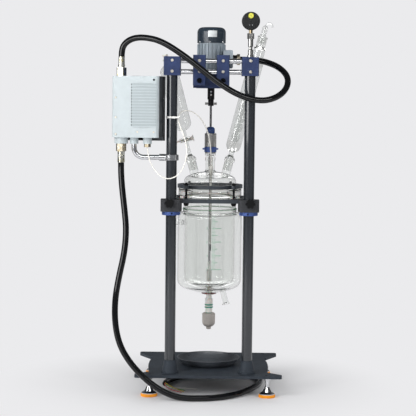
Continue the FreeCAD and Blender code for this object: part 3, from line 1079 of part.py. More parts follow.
def control_box(panes):
    """The ribbed control box, its bolted cover and controls, and its glands and sleeves."""
    half = "(box_w / 2)"
    profile = [("-%s + box_r" % half, "-box_back"), (half + " - box_r", "-box_back"),
               (half, "-box_back + box_r", "box_r"), (half, "box_split"), ("-" + half, "box_split"),
               ("-" + half, "-box_back + box_r")]
    profile[0] = profile[0] + ("box_r",)
    shell = slab("box_shell", "box_h", profile)
    rib_sketch = new_sketch(shell, "rib_outline", "XY_Plane")
    outline(rib_sketch, rectangle("-rib_x0", "-rib_x0 + rib_l", "-box_back - rib_h", "-box_back + 2"))
    drive(rib_sketch, "AttachmentOffset.Base.z", "rib_z0")
    rib = shell.newObject("PartDesign::Pad", "rib")
    rib.Profile = rib_sketch
    drive(rib, "Length", "rib_t")
    ribs = shell.newObject("PartDesign::LinearPattern", "ribs")
    ribs.Originals = [rib]
    ribs.Direction = (rib_sketch, ["N_Axis"])
    drive(ribs, "Length", "rib_pitch * (rib_count - 1)")
    drive(ribs, "Occurrences", "rib_count")
    shell.Tip = ribs
    bosses = []
    for name, x, radius in (("left", "-gland_left", "boss_left_r"), ("mid", "-gland_mid", "boss_mid_r"),
                            ("right", "gland_right", "boss_right_r")):
        bosses.append(rod("box_boss_" + name, radius, "box_boss_h", x, "-gland_in", "-box_boss_h"))
    ears = []
    for side, sign in SIDES:
        for number, level in enumerate(("70", "160"), start=1):
            ear = rod("box_ear_%s_%d" % (side, number), "ear_w / 2", "14", sign + " * (box_w / 2 + 2)",
                      "box_split - 14", level, TO_FRONT)
            ears.append(ear)
    housing = carved("housing_cut", joined("housing_form", [shell] + bosses + ears),
                     [rod("mid_gland_bore", "tube_r", "box_boss_h + 20", "-gland_mid", "-gland_in",
                     "-box_boss_h - 1")])
    keep(on_box(housing, "0", "0", "box_z"), "box_housing")

    cover = slab("cover_form", "box_h + cover_low", [("-cover_w / 2", "0"), ("cover_w / 2", "0"),
                                                     ("cover_w / 2", "box_front - box_split - box_r"),
                                                     ("cover_w / 2 - box_r", "box_front - box_split",
                                                     "box_r"),
                                                     ("-cover_w / 2 + box_r", "box_front - box_split"),
                                                     ("-cover_w / 2", "box_front - box_split - box_r",
                                                     "box_r")])
    step = "(box_front - box_split)"
    pane = shift(slab("window_cut", "window_t + 1", box_profile("window_w / 2", "window_h / 2", "5")), "0",
                 step + " - window_t", "window_z + cover_low", TO_FRONT)
    bores = [rod("speed_bore", "spindle_r + running_fit", "14", "-control_x", step + " - 13",
        "speed_z + cover_low", TO_FRONT),
             rod("switch_bore", "spindle_r + running_fit", "14", "control_x", step + " - 13",
             "speed_z + cover_low", TO_FRONT)]
    cover_screws = [(side, number, sign + " * (cover_w / 2 - 12)", level) for side, sign in SIDES
                    for number, level in enumerate(("20", "133", "246"), start=1)]
    for side, number, x, level in cover_screws:
        bores.append(rod("cover_screw_bore_%s_%d" % (side, number), "cover_screw_r", "cover_screw_l", x,
                         step + " - cover_screw_l", level + " + cover_low", TO_FRONT))
    cover_cut = carved("cover_cut", cover, [pane] + bores)
    keep(on_box(cover_cut, "0", "box_split", "box_z - cover_low"), "box_cover")
    glass = slab("window_form", "window_t", box_profile("window_w / 2", "window_h / 2", "5"))
    panes.append(on_box(glass, "0", "box_front - window_t", "box_z + window_z", TO_FRONT))
    keep(together("pane_pair", panes), "clear_panes")

    speed = lathe("speed_form", [("0", "-12"), ("spindle_r", "-12"), ("spindle_r", "running_gap"),
                                 ("speed_r", "running_gap"), ("speed_r", "3"), ("speed_r - 3", "4"),
                                 ("speed_r - 4", "speed_h - 2"), ("speed_r - 6", "speed_h"),
                                 ("0", "speed_h")])
    keep(on_box(speed, "-control_x", "box_front", "box_z + speed_z", TO_FRONT), "speed_knob")
    dial = lathe("switch_form", [("0", "-12"), ("spindle_r", "-12"), ("spindle_r", "running_gap"),
                                 ("switch_r", "running_gap"), ("switch_r", "8"), ("switch_r - 2", "10"),
                                 ("0", "10")])
    lever = slab("switch_lever", "switch_h - 9", box_profile("switch_r * 0.35", "switch_r - 1", "3"))
    shift(lever, z="9")
    keep(on_box(joined("switch_joined", [dial, lever]), "control_x", "box_front", "box_z + speed_z",
        TO_FRONT),
         "power_switch")

    top_hex = hexagon("top_hex", "sleeve_hex_r", "sleeve_hex_h")
    top_sleeve = rod("top_sleeve", "sleeve_r - 2", "sleeve_top_h", z="sleeve_hex_h")
    bead = rod("top_bead", "sleeve_r - 0.5", "6", z="sleeve_hex_h + 6")
    upper = on_box(joined("top_sleeve_set", [top_hex, top_sleeve, bead]), "-gland_left", "-gland_in",
        BOX_TOP)
    drop = "box_z - box_boss_h - brass_left_h"
    low_form = lathe("low_sleeve", [("0", "0"), ("sleeve_r - 1", "0"), ("sleeve_r", "1"), ("sleeve_r", "30"),
                                    ("sleeve_r - 1.5", "32"), ("sleeve_r", "34"),
                                    ("sleeve_r", "sleeve_low_h"),
                                    ("0", "sleeve_low_h")])
    lower = on_box(low_form, "-gland_left", "-gland_in", drop + " - sleeve_low_h")
    keep(together("sleeves", [upper, lower]), "hose_sleeves")

    left_nut = on_box(hexagon("brass_left", "sleeve_hex_r + 1", "brass_left_h"), "-gland_left", "-gland_in",
        drop)
    right_nut = on_box(hexagon("brass_right", "brass_right_r", "brass_right_h"), "gland_right", "-gland_in",
                       "box_z - box_boss_h - brass_right_h")
    motor_nut = place(hexagon("brass_motor", "nut_r", "nut_l"), "tbox_x + tbox_w + 2 + gland_l", "-gland_y",
                      "gland_z", ALONG_X)
    keep(together("brass_set", [left_nut, right_nut, motor_nut]), "brass_nuts")

    screws = []
    for number, (x, z) in enumerate((("-84", "86"), ("-84", "170"), ("12", "24"), ("84", "24"),
        ("-84", "14"),
                                     ("84", "246")), start=1):
        screw = lathe("box_screw_%d" % number, [("0", "0"), ("4.5", "0"), ("4.5", "1.5"), ("3", "2.5"),
            ("0", "2.5")])
        screws.append(on_box(screw, x, "-box_back", "box_z + " + z, TO_POSTS))
    for side, number, x, level in cover_screws:
        screw = cap_screw("cover_screw_%s_%d" % (side, number), "cover_screw_r", "cover_screw_l", "5", "4")
        screws.append(on_box(screw, x, "box_front", "box_z + " + level, TO_FRONT))
    return screws


def carrying_tube():
    """The bent tube that carries the control box, and its clamp on the left post."""
    x = value("-box_x - gland_mid * cos(box_yaw) - gland_in * sin(box_yaw)")
    top = value("box_z - box_boss_h + 18")
    low = value("tube_z")
    bend = value("tube_bend")
    reach = value("-post_x - grip_r - 8")
    offset = Vector(x, 0, low)
    corner = Vector(bend - bend * math.cos(math.pi / 4), 0, bend - bend * math.sin(math.pi / 4))
    points = [Vector(0, 0, top - low), Vector(0, 0, bend), Vector(bend, 0, 0), Vector(reach - x, 0, 0)]
    path = Part.Wire([Part.LineSegment(points[0], points[1]).toShape(),
                      Part.Arc(points[1], corner, points[2]).toShape(),
                      Part.LineSegment(points[2], points[3]).toShape()])
    mouth = Part.Wire(Part.Circle(points[0], Vector(0, 0, 1), value("tube_r")).toShape())
    tube_piece = doc.addObject("Part::Feature", "bent_tube_form")
    tube_piece.Shape = path.makePipeShell([mouth], True, True)
    tube_piece.Placement = Placement(offset + Vector(value("axis_x"), value("axis_y") - value("post_back"),
        0), Rotation())
    keep(tube_piece, "carrying_tube")

    ring = slab("grip_ring", "grip_h", None, [("0", "0", "grip_r")])
    socket = rod("grip_socket", "grip_socket_r", "grip_r + 22", "0", "0", "grip_h / 2", AGAINST_X)
    lug = slab("grip_lug", "grip_h", rectangle("-9", "9", "grip_r - 4", "grip_r + 14"))
    clamp = carved("grip_cut", joined("grip_form", [ring, socket, lug]),
                   [rod("grip_bore", "post_r", "grip_h * 3", z="-grip_h"),
                    rod("grip_tube_bore", "tube_r", "40", "-grip_r - 8", "0", "grip_h / 2", AGAINST_X),
                    shift(slab("grip_slot", "grip_h + 2",
                    rectangle("-1.5", "1.5", "post_r - 1", "grip_r + 16")), z="-1")])
    keep(place(clamp, "-post_x", "-post_back", "tube_z - grip_h / 2"), "tube_clamp")


def bend_path(points):
    """Straight runs joined by tangent arcs, each as large as its two runs allow."""
    edges = []
    radii = []
    last = points[0]
    for index in range(1, len(points) - 1):
        before, corner, after = points[index - 1], points[index], points[index + 1]
        into = (before - corner).normalize()
        out = (after - corner).normalize()
        half_turn = (math.pi - into.getAngle(out)) / 2
        shorter = min((corner - before).Length, (after - corner).Length)
        radius = 0.45 * shorter / math.tan(half_turn)
        start = corner + into * (0.45 * shorter)
        end = corner + out * (0.45 * shorter)
        middle_way = (into + out).normalize()
        middle = corner + middle_way * (radius / math.cos(half_turn) - radius)
        edges.append(Part.LineSegment(last, start).toShape())
        edges.append(Part.Arc(start, middle, end).toShape())
        radii.append(round(radius))
        last = end
    edges.append(Part.LineSegment(last, points[-1]).toShape())
    return Part.Wire(edges), radii


def cord(node, radius, route):
    """A cord's plain tube along a route of points counted from the vessel's axis on the floor."""
    place_of_axis = Vector(value("axis_x"), value("axis_y"), 0)
    points = [place_of_axis + Vector(*point) for point in route]
    path, radii = bend_path(points)
    mouth = Part.Wire(Part.Circle(points[0], points[1] - points[0], radius).toShape())
    solid = path.makePipeShell([mouth], True, True)
    piece = doc.addObject("Part::Feature", node + "_tube")
    piece.Shape = solid
    share = solid.Volume / (math.pi * radius ** 2 * path.Length)
    print("%s: length %.0f, radii %s, volume over section times length %.4f" % (node, path.Length, radii,
        share))
    return piece


UPPER_HOSE = [(-384.7, -206.9, 1459), (-384.7, -206.9, 1490), (-370, -210, 1518), (-338, -216, 1538),
    (-290, -225, 1543),
              (-215, -242, 1528), (-110, -254, 1462), (0, -256, 1374), (105, -268, 1303), (205, -282, 1274),
              (275, -268, 1288), (322, -235, 1326), (333, -195, 1376), (302, -150, 1418), (248, -108, 1444),
              (188, -75, 1456), (125, -75, 1456)]
LOWER_HOSE = [(-384.7, -206.9, 1006), (-384.7, -206.9, 960), (-378, -222, 890), (-366, -240, 800),
    (-357, -258, 715),
              (-364, -278, 620), (-386, -292, 520), (-402, -305, 420), (-400, -318, 320), (-380, -328, 232),
              (-334, -336, 156), (-272, -344, 92), (-204, -352, 42), (-130, -360, 13.6), (-40, -374, 13.6),
              (55, -345, 13.6), (130, -270, 13.6), (185, -170, 13.6), (226, -60, 13.6), (242, 50, 13.6),
              (215, 150, 13.6), (130, 215, 13.6), (10, 215, 13.6), (-90, 165, 13.6), (-155, 80, 13.6),
              (-190, -10, 13.6), (-190, -56, 13.6)]
SENSOR_CABLE = [(-270.7, -233.2, 1074), (-269, -236, 1052), (-260, -240, 1014), (-240, -243, 976),
    (-206, -248, 944),
                (-168, -254, 938), (-130, -258, 962), (-106, -258, 1010), (-100, -256, 1062),
                (-108, -252, 1108),
                (-124, -246, 1148), (-138, -235, 1180), (-141, -212, 1206), (-130, -186, 1226),
                (-100, -156, 1234),
                (-62, -130, 1218), (-30, -108, 1180), (-10, -92, 1130), (0, -80, 1076), (3, -68, 1028),
                (3, -66, 990)]
WIRES = [[(-187, -56, 14), (-187, -68, 14), (-180, -92, 14), (-164, -122, 11), (-134, -144, 6),
    (-100, -152, 3)],
         [(-190, -56, 18), (-190, -68, 18), (-184, -94, 20), (-164, -130, 16), (-134, -160, 8),
         (-106, -184, 3)],
         [(-193, -56, 14), (-193, -68, 14), (-190, -98, 12), (-176, -136, 8), (-148, -168, 4),
         (-116, -196, 3)],
         [(-190, -56, 10), (-190, -68, 10), (-178, -90, 6), (-156, -108, 5), (-124, -124, 7), (-84, -130, 8),
          (-48, -124, 3)]]


def cords():
    """Hoses and cables at their real routes."""
    hose_r = value("hose_r")
    keep(cord("upper_hose", hose_r, UPPER_HOSE), "upper_hose")
    keep(cord("lower_hose", hose_r, LOWER_HOSE), "lower_hose")
    keep(cord("sensor_cable", value("cable_r"), SENSOR_CABLE), "sensor_cable")
    wires = [cord("wire_%d" % number, value("wire_r"), route) for number, route in enumerate(WIRES, start=1)]
    keep(together("wires", wires), "wire_ends")


def check_and_write():
    """Stop at a failed object or an empty sub-part, then write one file for each sub-part."""
    doc.recompute()
    failed = [entry.Name for entry in doc.Objects if "Invalid" in entry.State or "Error" in entry.State]
    failed += [piece.Label for piece in finished if piece.Shape.isNull() or not piece.Shape.isValid()]
    if failed:
        raise RuntimeError("failed: " + ", ".join(failed))
    os.makedirs("parts", exist_ok=True)
    for piece in finished:
        piece.Shape.exportStep("parts/%s.step" % piece.Label)
    print("%d sub-parts" % len(finished))


stand()
carriage()
vessel()
lid()
probe()
funnel()
stoppers()
condenser()
shaft_seal()
drain_valve()
stirrer()
head_screws = drive_head()
motor()
lens = gauge()
box_screws = control_box([lens])
keep(together("screw_set", head_screws + box_screws), "screws")
carrying_tube()
cords()
check_and_write()
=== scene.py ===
"""Looks of a jacketed glass reactor: finishes, glass marks, hoses, small fittings and a studio."""

import math

import bpy
from mathutils import Matrix, Vector


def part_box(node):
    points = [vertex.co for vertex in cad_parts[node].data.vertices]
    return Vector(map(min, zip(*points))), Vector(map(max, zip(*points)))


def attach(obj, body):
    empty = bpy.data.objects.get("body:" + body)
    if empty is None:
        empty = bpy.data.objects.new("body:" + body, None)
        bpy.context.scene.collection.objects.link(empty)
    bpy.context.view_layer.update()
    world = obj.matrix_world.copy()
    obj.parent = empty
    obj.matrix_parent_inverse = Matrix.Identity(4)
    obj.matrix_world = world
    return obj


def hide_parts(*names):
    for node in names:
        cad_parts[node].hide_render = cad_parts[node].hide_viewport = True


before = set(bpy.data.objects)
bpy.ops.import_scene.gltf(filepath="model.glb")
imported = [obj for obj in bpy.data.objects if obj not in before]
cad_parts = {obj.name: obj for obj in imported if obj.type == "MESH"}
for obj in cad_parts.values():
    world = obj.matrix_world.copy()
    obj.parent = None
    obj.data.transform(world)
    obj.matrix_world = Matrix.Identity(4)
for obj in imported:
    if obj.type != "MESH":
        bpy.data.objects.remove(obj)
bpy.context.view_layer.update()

bl_info = {
    "name": "Jacketed glass reactor",
    "version": (1, 0, 0),
    "blender": (4, 5, 0),
    "location": "3D View > Sidebar > Reactor",
    "description": "Finishes, marks, hoses and studio for a jacketed glass reactor",
    "category": "Object",
}

# The vessel's axis and the control box's turn, as the CAD places them, in metres and radians
AXIS_X = 0.052
BOX_YAW = math.radians(13)
BOX_EDGE = Vector((-0.259, -0.2034, 0))
RIB_Z = 1.1625
RIB_PITCH = 0.0123
RIB_COUNT = 16
BOX_LOW_Z = 1.1152
CONTROL_Z = 1.21
MM = 0.001

# Heights in metres at which the finish of a piece changes
BLACK_SCREWS_LOW = 1.345
BLACK_SCREWS_HIGH = 1.377
BRASS_NECK_Z = 1.564
PROBE_CAP_Z = 0.642
TOP_SEAL_Z = 0.39
COWL_R = 0.0632
BACKGROUND = "#ebebed"


def linear(code):
    """An sRGB hex value as linear red, green and blue."""
    parts = [int(code[place:place + 2], 16) / 255 for place in (1, 3, 5)]
    return [part / 12.92 if part <= 0.04045 else ((part + 0.055) / 1.055) ** 2.4 for part in parts]


def paint(code):
    """An sRGB hex value as a linear colour with a full alpha."""
    return (*linear(code), 1.0)


def colour_setting(name, description, code):
    """A colour that a user can change."""
    return bpy.props.FloatVectorProperty(
        name=name, description=description, subtype="COLOR", size=3, min=0, max=1, default=linear(code))


def length_setting(name, description, metres):
    """A length that a user can change."""
    return bpy.props.FloatProperty(name=name, description=description, default=metres, min=0, unit="LENGTH")


class ReactorColours(bpy.types.PropertyGroup):
    """Colours that a maker would offer in other choices."""

    stand: colour_setting("Stand", "Powder coat of plate, posts and sockets", "#22262b")
    anodised: colour_setting("Anodised blocks", "Dye of the anodised blocks and collars", "#24335a")
    motor: colour_setting("Motor", "Enamel of the motor's body", "#97a2ab")
    cowl: colour_setting("Cowl", "Enamel of the motor's cowl", "#2b3641")
    box: colour_setting("Control box", "Powder coat of the cast box", "#b8c1c4")
    feet: colour_setting("Feet", "Rubber of the levelling feet", "#f49a1c")
    marks: colour_setting("Graduation", "Fired enamel of the vessel's marks", "#7fc8a0")
    hose: colour_setting("Hose", "Outer cover of the two hoses", "#0b0c0e")


class ReactorSizes(bpy.types.PropertyGroup):
    """Sizes of the pieces that are added to the CAD model."""

    hose: length_setting("Hose", "Diameter of the two hoses", 0.0266)
    cable: length_setting("Cable", "Diameter of the sensor's cable", 0.005)
    wire: length_setting("Wire", "Diameter of the bare hose's wires", 0.003)
    digit: length_setting("Digit", "Height of the vessel's graduation numbers", 0.013)
    major_mark: length_setting("Long mark", "Length of the numbered graduation lines", 0.043)
    minor_mark: length_setting("Short mark", "Length of the graduation lines between them", 0.026)
    mark_line: length_setting("Line", "Width of a graduation line", 0.0024)
    tie_band: length_setting("Cable tie", "Width of the cable tie's band", 0.008)


def add(tree, kind, settings=None, sockets=None):
    """Add one node: a socket that is given another node's output is linked, any other is set."""
    node = tree.nodes.new(kind)
    for name, value in (settings or {}).items():
        setattr(node, name, value)
    for name, value in (sockets or {}).items():
        if isinstance(value, bpy.types.NodeSocket):
            tree.links.new(value, node.inputs[name])
        else:
            node.inputs[name].default_value = value
    return node


def maths(tree, operation, first, second):
    """The result of one operation on two values or sockets."""
    return add(tree, "ShaderNodeMath", {"operation": operation}, {0: first, 1: second}).outputs[0]


def blend(tree, share, first, second):
    """Two shaders mixed by a share of the second."""
    return add(tree, "ShaderNodeMixShader", sockets={0: share, 1: first, 2: second}).outputs[0]


def new_material(name, **sockets):
    """A material with one Principled shader, and its tree and shader."""
    material = bpy.data.materials.new(name)
    material.use_nodes = True
    tree = material.node_tree
    tree.nodes.clear()
    shader = add(tree, "ShaderNodeBsdfPrincipled", sockets=sockets)
    add(tree, "ShaderNodeOutputMaterial", sockets={"Surface": shader.outputs[0]})
    return material, tree, shader


def grain(tree, size_mm, stretch=(1, 1, 1), detail=3.0):
    """Noise with grains of about that size on the object's own coordinates."""
    place = add(tree, "ShaderNodeTexCoord")
    laid = add(tree, "ShaderNodeMapping", sockets={"Vector": place.outputs["Object"], "Scale": stretch})
    noise = add(tree, "ShaderNodeTexNoise", sockets={
        "Vector": laid.outputs[0], "Scale": 1 / (size_mm * MM), "Detail": detail, "Roughness": 0.55})
    return noise.outputs["Fac"]


def vary_colour(tree, shader, pattern, dark, light, low=0.3, high=0.7):
    """Colour the shader between two shades by a pattern."""
    ramp = add(tree, "ShaderNodeValToRGB", sockets={"Fac": pattern})
    ramp.color_ramp.elements[0].position = low
    ramp.color_ramp.elements[0].color = dark
    ramp.color_ramp.elements[1].position = high
    ramp.color_ramp.elements[1].color = light
    tree.links.new(ramp.outputs[0], shader.inputs["Base Color"])
    return ramp


def vary_roughness(tree, shader, pattern, smooth, rough):
    """Let the shader's roughness follow a pattern."""
    spread = add(tree, "ShaderNodeMapRange", sockets={
        "Value": pattern, "From Min": 0.3, "From Max": 0.7, "To Min": smooth, "To Max": rough})
    tree.links.new(spread.outputs[0], shader.inputs["Roughness"])


def raise_surface(tree, shader, pattern, height_mm, strength=1.0):
    """Raise the surface by a pattern."""
    bump = add(tree, "ShaderNodeBump", sockets={
        "Height": pattern, "Distance": height_mm * MM, "Strength": strength})
    # Register the add-on and make every piece in order.
    tree.links.new(bump.outputs[0], shader.inputs["Normal"])


def shades(colour, spread):
    """A darker and a lighter shade of a colour."""
    return ((*[part * (1 - spread) for part in colour], 1.0),
            (*[min(part * (1 + spread), 1.0) for part in colour], 1.0))


def coated(name, colour, spread, grain_mm, roughness, bump_mm, **sockets):
    """A coat whose shade, gloss and surface vary with one grain."""
    material, tree, shader = new_material(name, **sockets)
    dark, light = shades(colour, spread)
    vary_colour(tree, shader, grain(tree, grain_mm * 14), dark, light)
    fine = grain(tree, grain_mm)
    vary_roughness(tree, shader, fine, *roughness)
    raise_surface(tree, shader, fine, bump_mm)
    return material


def metal(name, dark, light, tone, gloss, roughness, relief, relief_mm, low=0.3, high=0.7):
    """A bare or plated metal: its shade, gloss and relief each follow a grain, given by size and stretch."""
    material, tree, shader = new_material(name, Metallic=1.0)
    vary_colour(tree, shader, grain(tree, *tone), paint(dark), paint(light), low, high)
    vary_roughness(tree, shader, grain(tree, *gloss), *roughness)
    raise_surface(tree, shader, grain(tree, *relief), relief_mm)
    return material


def powder_coated_steel():
    """Powder-coated steel: dark grey, satin, with the orange peel of a baked coat."""
    colour = [part * 2.3 for part in bpy.context.scene.reactor_colours.stand]
    return coated("powder_coated_steel", colour, 0.16, 3.0, (0.38, 0.52), 0.08,
                  **{"Specular IOR Level": 0.12})


def powder_coated_ring():
    """Powder-coated steel plate and ring: the same coat, evenly a little lighter than on the posts."""
    colour = [part * 2.2 for part in bpy.context.scene.reactor_colours.stand]
    return coated("powder_coated_ring", colour, 0.16, 3.0, (0.34, 0.48), 0.08)


def powder_coated_tube():
    """Powder-coated steel tube: the same coat, drawn out smooth along the posts, under a thin gloss."""
    colour = bpy.context.scene.reactor_colours.stand
    material, tree, shader = new_material("powder_coated_tube", **{
        "Coat Weight": 0.4, "Coat Roughness": 0.05, "Coat IOR": 1.8})
    dark, light = shades(colour, 0.14)
    vary_colour(tree, shader, grain(tree, 60, (1, 1, 0.12)), dark, light)
    vary_roughness(tree, shader, grain(tree, 5), 0.12, 0.22)
    raise_surface(tree, shader, grain(tree, 4), 0.05)
    return material


def anodised_aluminium():
    """Anodised aluminium: milled blocks dyed blue, a metal sheen under a matt bead-blasted skin."""
    colour = bpy.context.scene.reactor_colours.anodised
    return coated("anodised_aluminium", colour, 0.22, 2.5, (0.4, 0.58), 0.05, Metallic=0.35)


def anodised_collars():
    """Anodised aluminium collars: turned, so the blue shows lighter than on the milled blocks."""
    colour = [part * 3.0 for part in bpy.context.scene.reactor_colours.anodised]
    return coated("anodised_collars", colour, 0.2, 2.5, (0.36, 0.5), 0.05, Metallic=0.35)


def painted_cast_iron():
    """Sand-cast iron under black paint: a coarse sand skin, pits and a few bright rubbed crests."""
    material, tree, shader = new_material("painted_cast_iron")
    skin = grain(tree, 5, detail=6.0)
    vary_colour(tree, shader, skin, paint("#1b1c1f"), paint("#3d3f43"), 0.25, 0.8)
    vary_roughness(tree, shader, skin, 0.55, 0.85)
    raise_surface(tree, shader, skin, 1.1)
    return material


def moulded_nylon():
    """Glass-filled nylon, moulded black: a fine spark-eroded grain with soft highlights."""
    return coated("moulded_nylon", linear("#0c0d0e"), 0.25, 1.6, (0.42, 0.58), 0.05,
                  **{"Specular IOR Level": 0.2})


def moulded_phenolic():
    """Phenolic, moulded black with a polish: deep black with broad soft highlights."""
    return coated("moulded_phenolic", linear("#141517"), 0.3, 4.0, (0.26, 0.4), 0.015,
                  **{"Specular IOR Level": 0.3})


def tray_plastic():
    """Vacuum-formed black sheet: shallow waves of a cooled skin and light scuffs."""
    return coated("vacuum_formed_sheet", linear("#43474d"), 0.3, 9.0, (0.26, 0.44), 0.12,
                  **{"Specular IOR Level": 0.9})


def chrome_plate():
    """Chrome plate on steel: near-mirror, with faint handling haze."""
    haze = (14,)
    return metal("chrome_plate", "#cccdd0", "#e6e7e9", haze, haze, (0.07, 0.16), (30,), 0.03)


def turned_steel():
    """Stainless steel, turned and brushed: fine rings from the lathe around each piece."""
    # Lathe lines are finer than a pixel, so they are drawn 1.5 mm apart
    rings = (1.5, (0.06, 0.06, 1.0))
    return metal("turned_stainless_steel", "#a09f9d", "#c9c8c5", rings, rings, (0.24, 0.38), rings, 0.02)


def shaft_steel():
    """Ground stainless steel shaft: smooth enough to mirror the dark drive above it."""
    rings = (2.5, (0.2, 0.2, 1.0))
    return metal("ground_stainless_shaft", "#77777a", "#97979a", rings, rings, (0.16, 0.26), rings, 0.01)


def above(tree, height):
    """One where the object's own Z lies above a height in metres, zero below it."""
    place = add(tree, "ShaderNodeTexCoord")
    split = add(tree, "ShaderNodeSeparateXYZ", sockets={0: place.outputs["Object"]})
    return maths(tree, "GREATER_THAN", split.outputs["Z"], height)


def part_shade(tree, shader, share, colour):
    """Give the part of a piece where share is one another colour."""
    first = shader.inputs["Base Color"].links[0].from_socket
    shown = add(tree, "ShaderNodeMix", {"data_type": "RGBA"}, {0: share, 6: first, 7: colour})
    tree.links.new(shown.outputs[2], shader.inputs["Base Color"])


def socket_screws():
    """Zinc-plated socket screws; the two large ones of the motor's bracket are black oxide."""
    material, tree, shader = new_material("zinc_plated_screws", Metallic=1.0)
    vary_colour(tree, shader, grain(tree, 2), paint("#c9c3b6"), paint("#e6e1d8"))
    vary_roughness(tree, shader, grain(tree, 1.5), 0.3, 0.45)
    below = maths(tree, "SUBTRACT", 1.0, above(tree, BLACK_SCREWS_HIGH))
    black = maths(tree, "MULTIPLY", above(tree, BLACK_SCREWS_LOW), below)
    part_shade(tree, shader, black, paint("#16171a"))
    return material


def gauge_fitting():
    """The gauge's fitting: turned stainless steel below, a brass neck under the case."""
    material, tree, shader = new_material("steel_and_brass_fitting", Metallic=1.0)
    rings = grain(tree, 1.5, (0.06, 0.06, 1.0))
    vary_colour(tree, shader, rings, paint("#a3a29f"), paint("#d0cfcc"))
    vary_roughness(tree, shader, rings, 0.14, 0.26)
    raise_surface(tree, shader, rings, 0.06)
    part_shade(tree, shader, above(tree, BRASS_NECK_Z), paint("#b3a283"))
    return material


def plated_sleeve():
    """Zinc-plated steel with a yellow passivate: bright, with faint yellow and green patches."""
    return metal("yellow_passivated_zinc", "#ddd3a8", "#f0f0ea", (16,), (5,), (0.14, 0.24), (8,), 0.04,
                 0.35, 0.6)


def probe_sheath():
    """The probe's white sheath, with a black end cap over the sensor."""
    material, tree, shader = new_material("probe_sheath")
    vary_colour(tree, shader, grain(tree, 30), paint("#dcd9d2"), paint("#ece9e3"))
    vary_roughness(tree, shader, grain(tree, 3), 0.3, 0.45)
    cap = maths(tree, "SUBTRACT", 1.0, above(tree, PROBE_CAP_Z))
    part_shade(tree, shader, cap, paint("#1c1d20"))
    return material


def plated_brass():
    """Nickel-flashed brass: warm and bright, yellower where the plate is thin."""
    return metal("nickel_flashed_brass", "#a6987a", "#c2bbad", (12,), (3,), (0.24, 0.36), (2,), 0.03,
                 0.35, 0.62)


def borosilicate_glass(name, tint):
    """Borosilicate glass, blown and tooled: clear, with a grey depth where a ray runs in the wall."""
    material, tree, shader = new_material(name, IOR=1.47, Roughness=0.0, **{"Transmission Weight": 1.0})
    shader.inputs["Base Color"].default_value = paint(tint)
    # Blown walls wave by a few hundredths of a millimetre over some centimetres
    raise_surface(tree, shader, grain(tree, 45, (1, 1, 0.5), 1.0), 0.25, 0.35)
    path = add(tree, "ShaderNodeLightPath")
    through = maths(tree, "MAXIMUM", path.outputs["Is Shadow Ray"], path.outputs["Is Diffuse Ray"])
    open_air = add(tree, "ShaderNodeBsdfTransparent", sockets={"Color": paint("#f0f1f0")})
    mixed = blend(tree, through, shader.outputs[0], open_air.outputs[0])
    depth = add(tree, "ShaderNodeVolumeAbsorption", sockets={"Color": paint("#c6c5c1"), "Density": 12.0})
    output = tree.nodes["Material Output"]
    tree.links.new(mixed, output.inputs["Surface"])
    tree.links.new(depth.outputs[0], output.inputs["Volume"])
    return material


def clear_acrylic():
    """Clear acrylic: a flat polished pane with a trace of grey."""
    material, tree, shader = new_material(
        "clear_acrylic", IOR=1.49, Roughness=0.02, **{"Transmission Weight": 1.0})
    shader.inputs["Base Color"].default_value = paint("#eef1f2")
    path = add(tree, "ShaderNodeLightPath")
    open_air = add(tree, "ShaderNodeBsdfTransparent")
    mixed = blend(tree, path.outputs["Is Shadow Ray"], shader.outputs[0], open_air.outputs[0])
    tree.links.new(mixed, tree.nodes["Material Output"].inputs["Surface"])
    raise_surface(tree, shader, grain(tree, 30), 0.02)
    return material


def turned_ptfe():
    """PTFE, turned from rod: waxy white, with faint tool rings and a soft inner glow."""
    material, tree, shader = new_material("turned_ptfe", **{
        "Subsurface Weight": 0.15, "Subsurface Scale": 0.003})
    rings = grain(tree, 2.2, (0.08, 0.08, 1.0))
    vary_colour(tree, shader, grain(tree, 30), paint("#d2d0ca"), paint("#e6e4df"))
    vary_roughness(tree, shader, rings, 0.34, 0.5)
    raise_surface(tree, shader, rings, 0.05)
    return material


def grey_polypropylene():
    """Grey polypropylene, moulded: warm grey and slightly waxy, darker in its ribs."""
    return coated("grey_polypropylene", linear("#b0aaa5"), 0.1, 2.4, (0.4, 0.56), 0.06)


def foot_rubber():
    """Orange rubber: matt, with a little floor dust."""
    colour = bpy.context.scene.reactor_colours.feet
    return coated("orange_rubber", colour, 0.12, 2.0, (0.6, 0.8), 0.12)


def seal_rubber():
    """Coloured seal rings: dark red at the drain's top seal, green around the valve's body."""
    material, tree, shader = new_material("coloured_seal_rings")
    red = add(tree, "ShaderNodeMix", {"data_type": "RGBA"}, {
        0: grain(tree, 6), 6: paint("#6d211b"), 7: paint("#8f3229")})
    green = add(tree, "ShaderNodeMix", {"data_type": "RGBA"}, {
        0: grain(tree, 6), 6: paint("#1f7a68"), 7: paint("#2f9a85")})
    shown = add(tree, "ShaderNodeMix", {"data_type": "RGBA"}, {
        0: above(tree, TOP_SEAL_Z), 6: green.outputs[2], 7: red.outputs[2]})
    tree.links.new(shown.outputs[2], shader.inputs["Base Color"])
    vary_roughness(tree, shader, grain(tree, 3), 0.45, 0.65)
    return material


def yellow_plastic():
    """Yellow elastomer plug: bright and slightly glossy."""
    return coated("yellow_elastomer", linear("#cfcc48"), 0.08, 2.0, (0.35, 0.5), 0.04)


def blue_plastic():
    """Blue glass-filled polymer: a deep blue moulded cap with a fine grain."""
    return coated("blue_filled_polymer", linear("#1c3d74"), 0.2, 2.0, (0.32, 0.48), 0.05)


def red_plastic():
    """Red ABS: the glossy moulded grip of a rotary switch."""
    return coated("red_abs", linear("#b3231b"), 0.1, 3.0, (0.2, 0.32), 0.03)


def motor_enamel():
    """Motor enamel on ribbed cast iron: blue-grey, semi-gloss."""
    colour = bpy.context.scene.reactor_colours.motor
    return coated("motor_enamel", colour, 0.14, 4.0, (0.3, 0.48), 0.12)


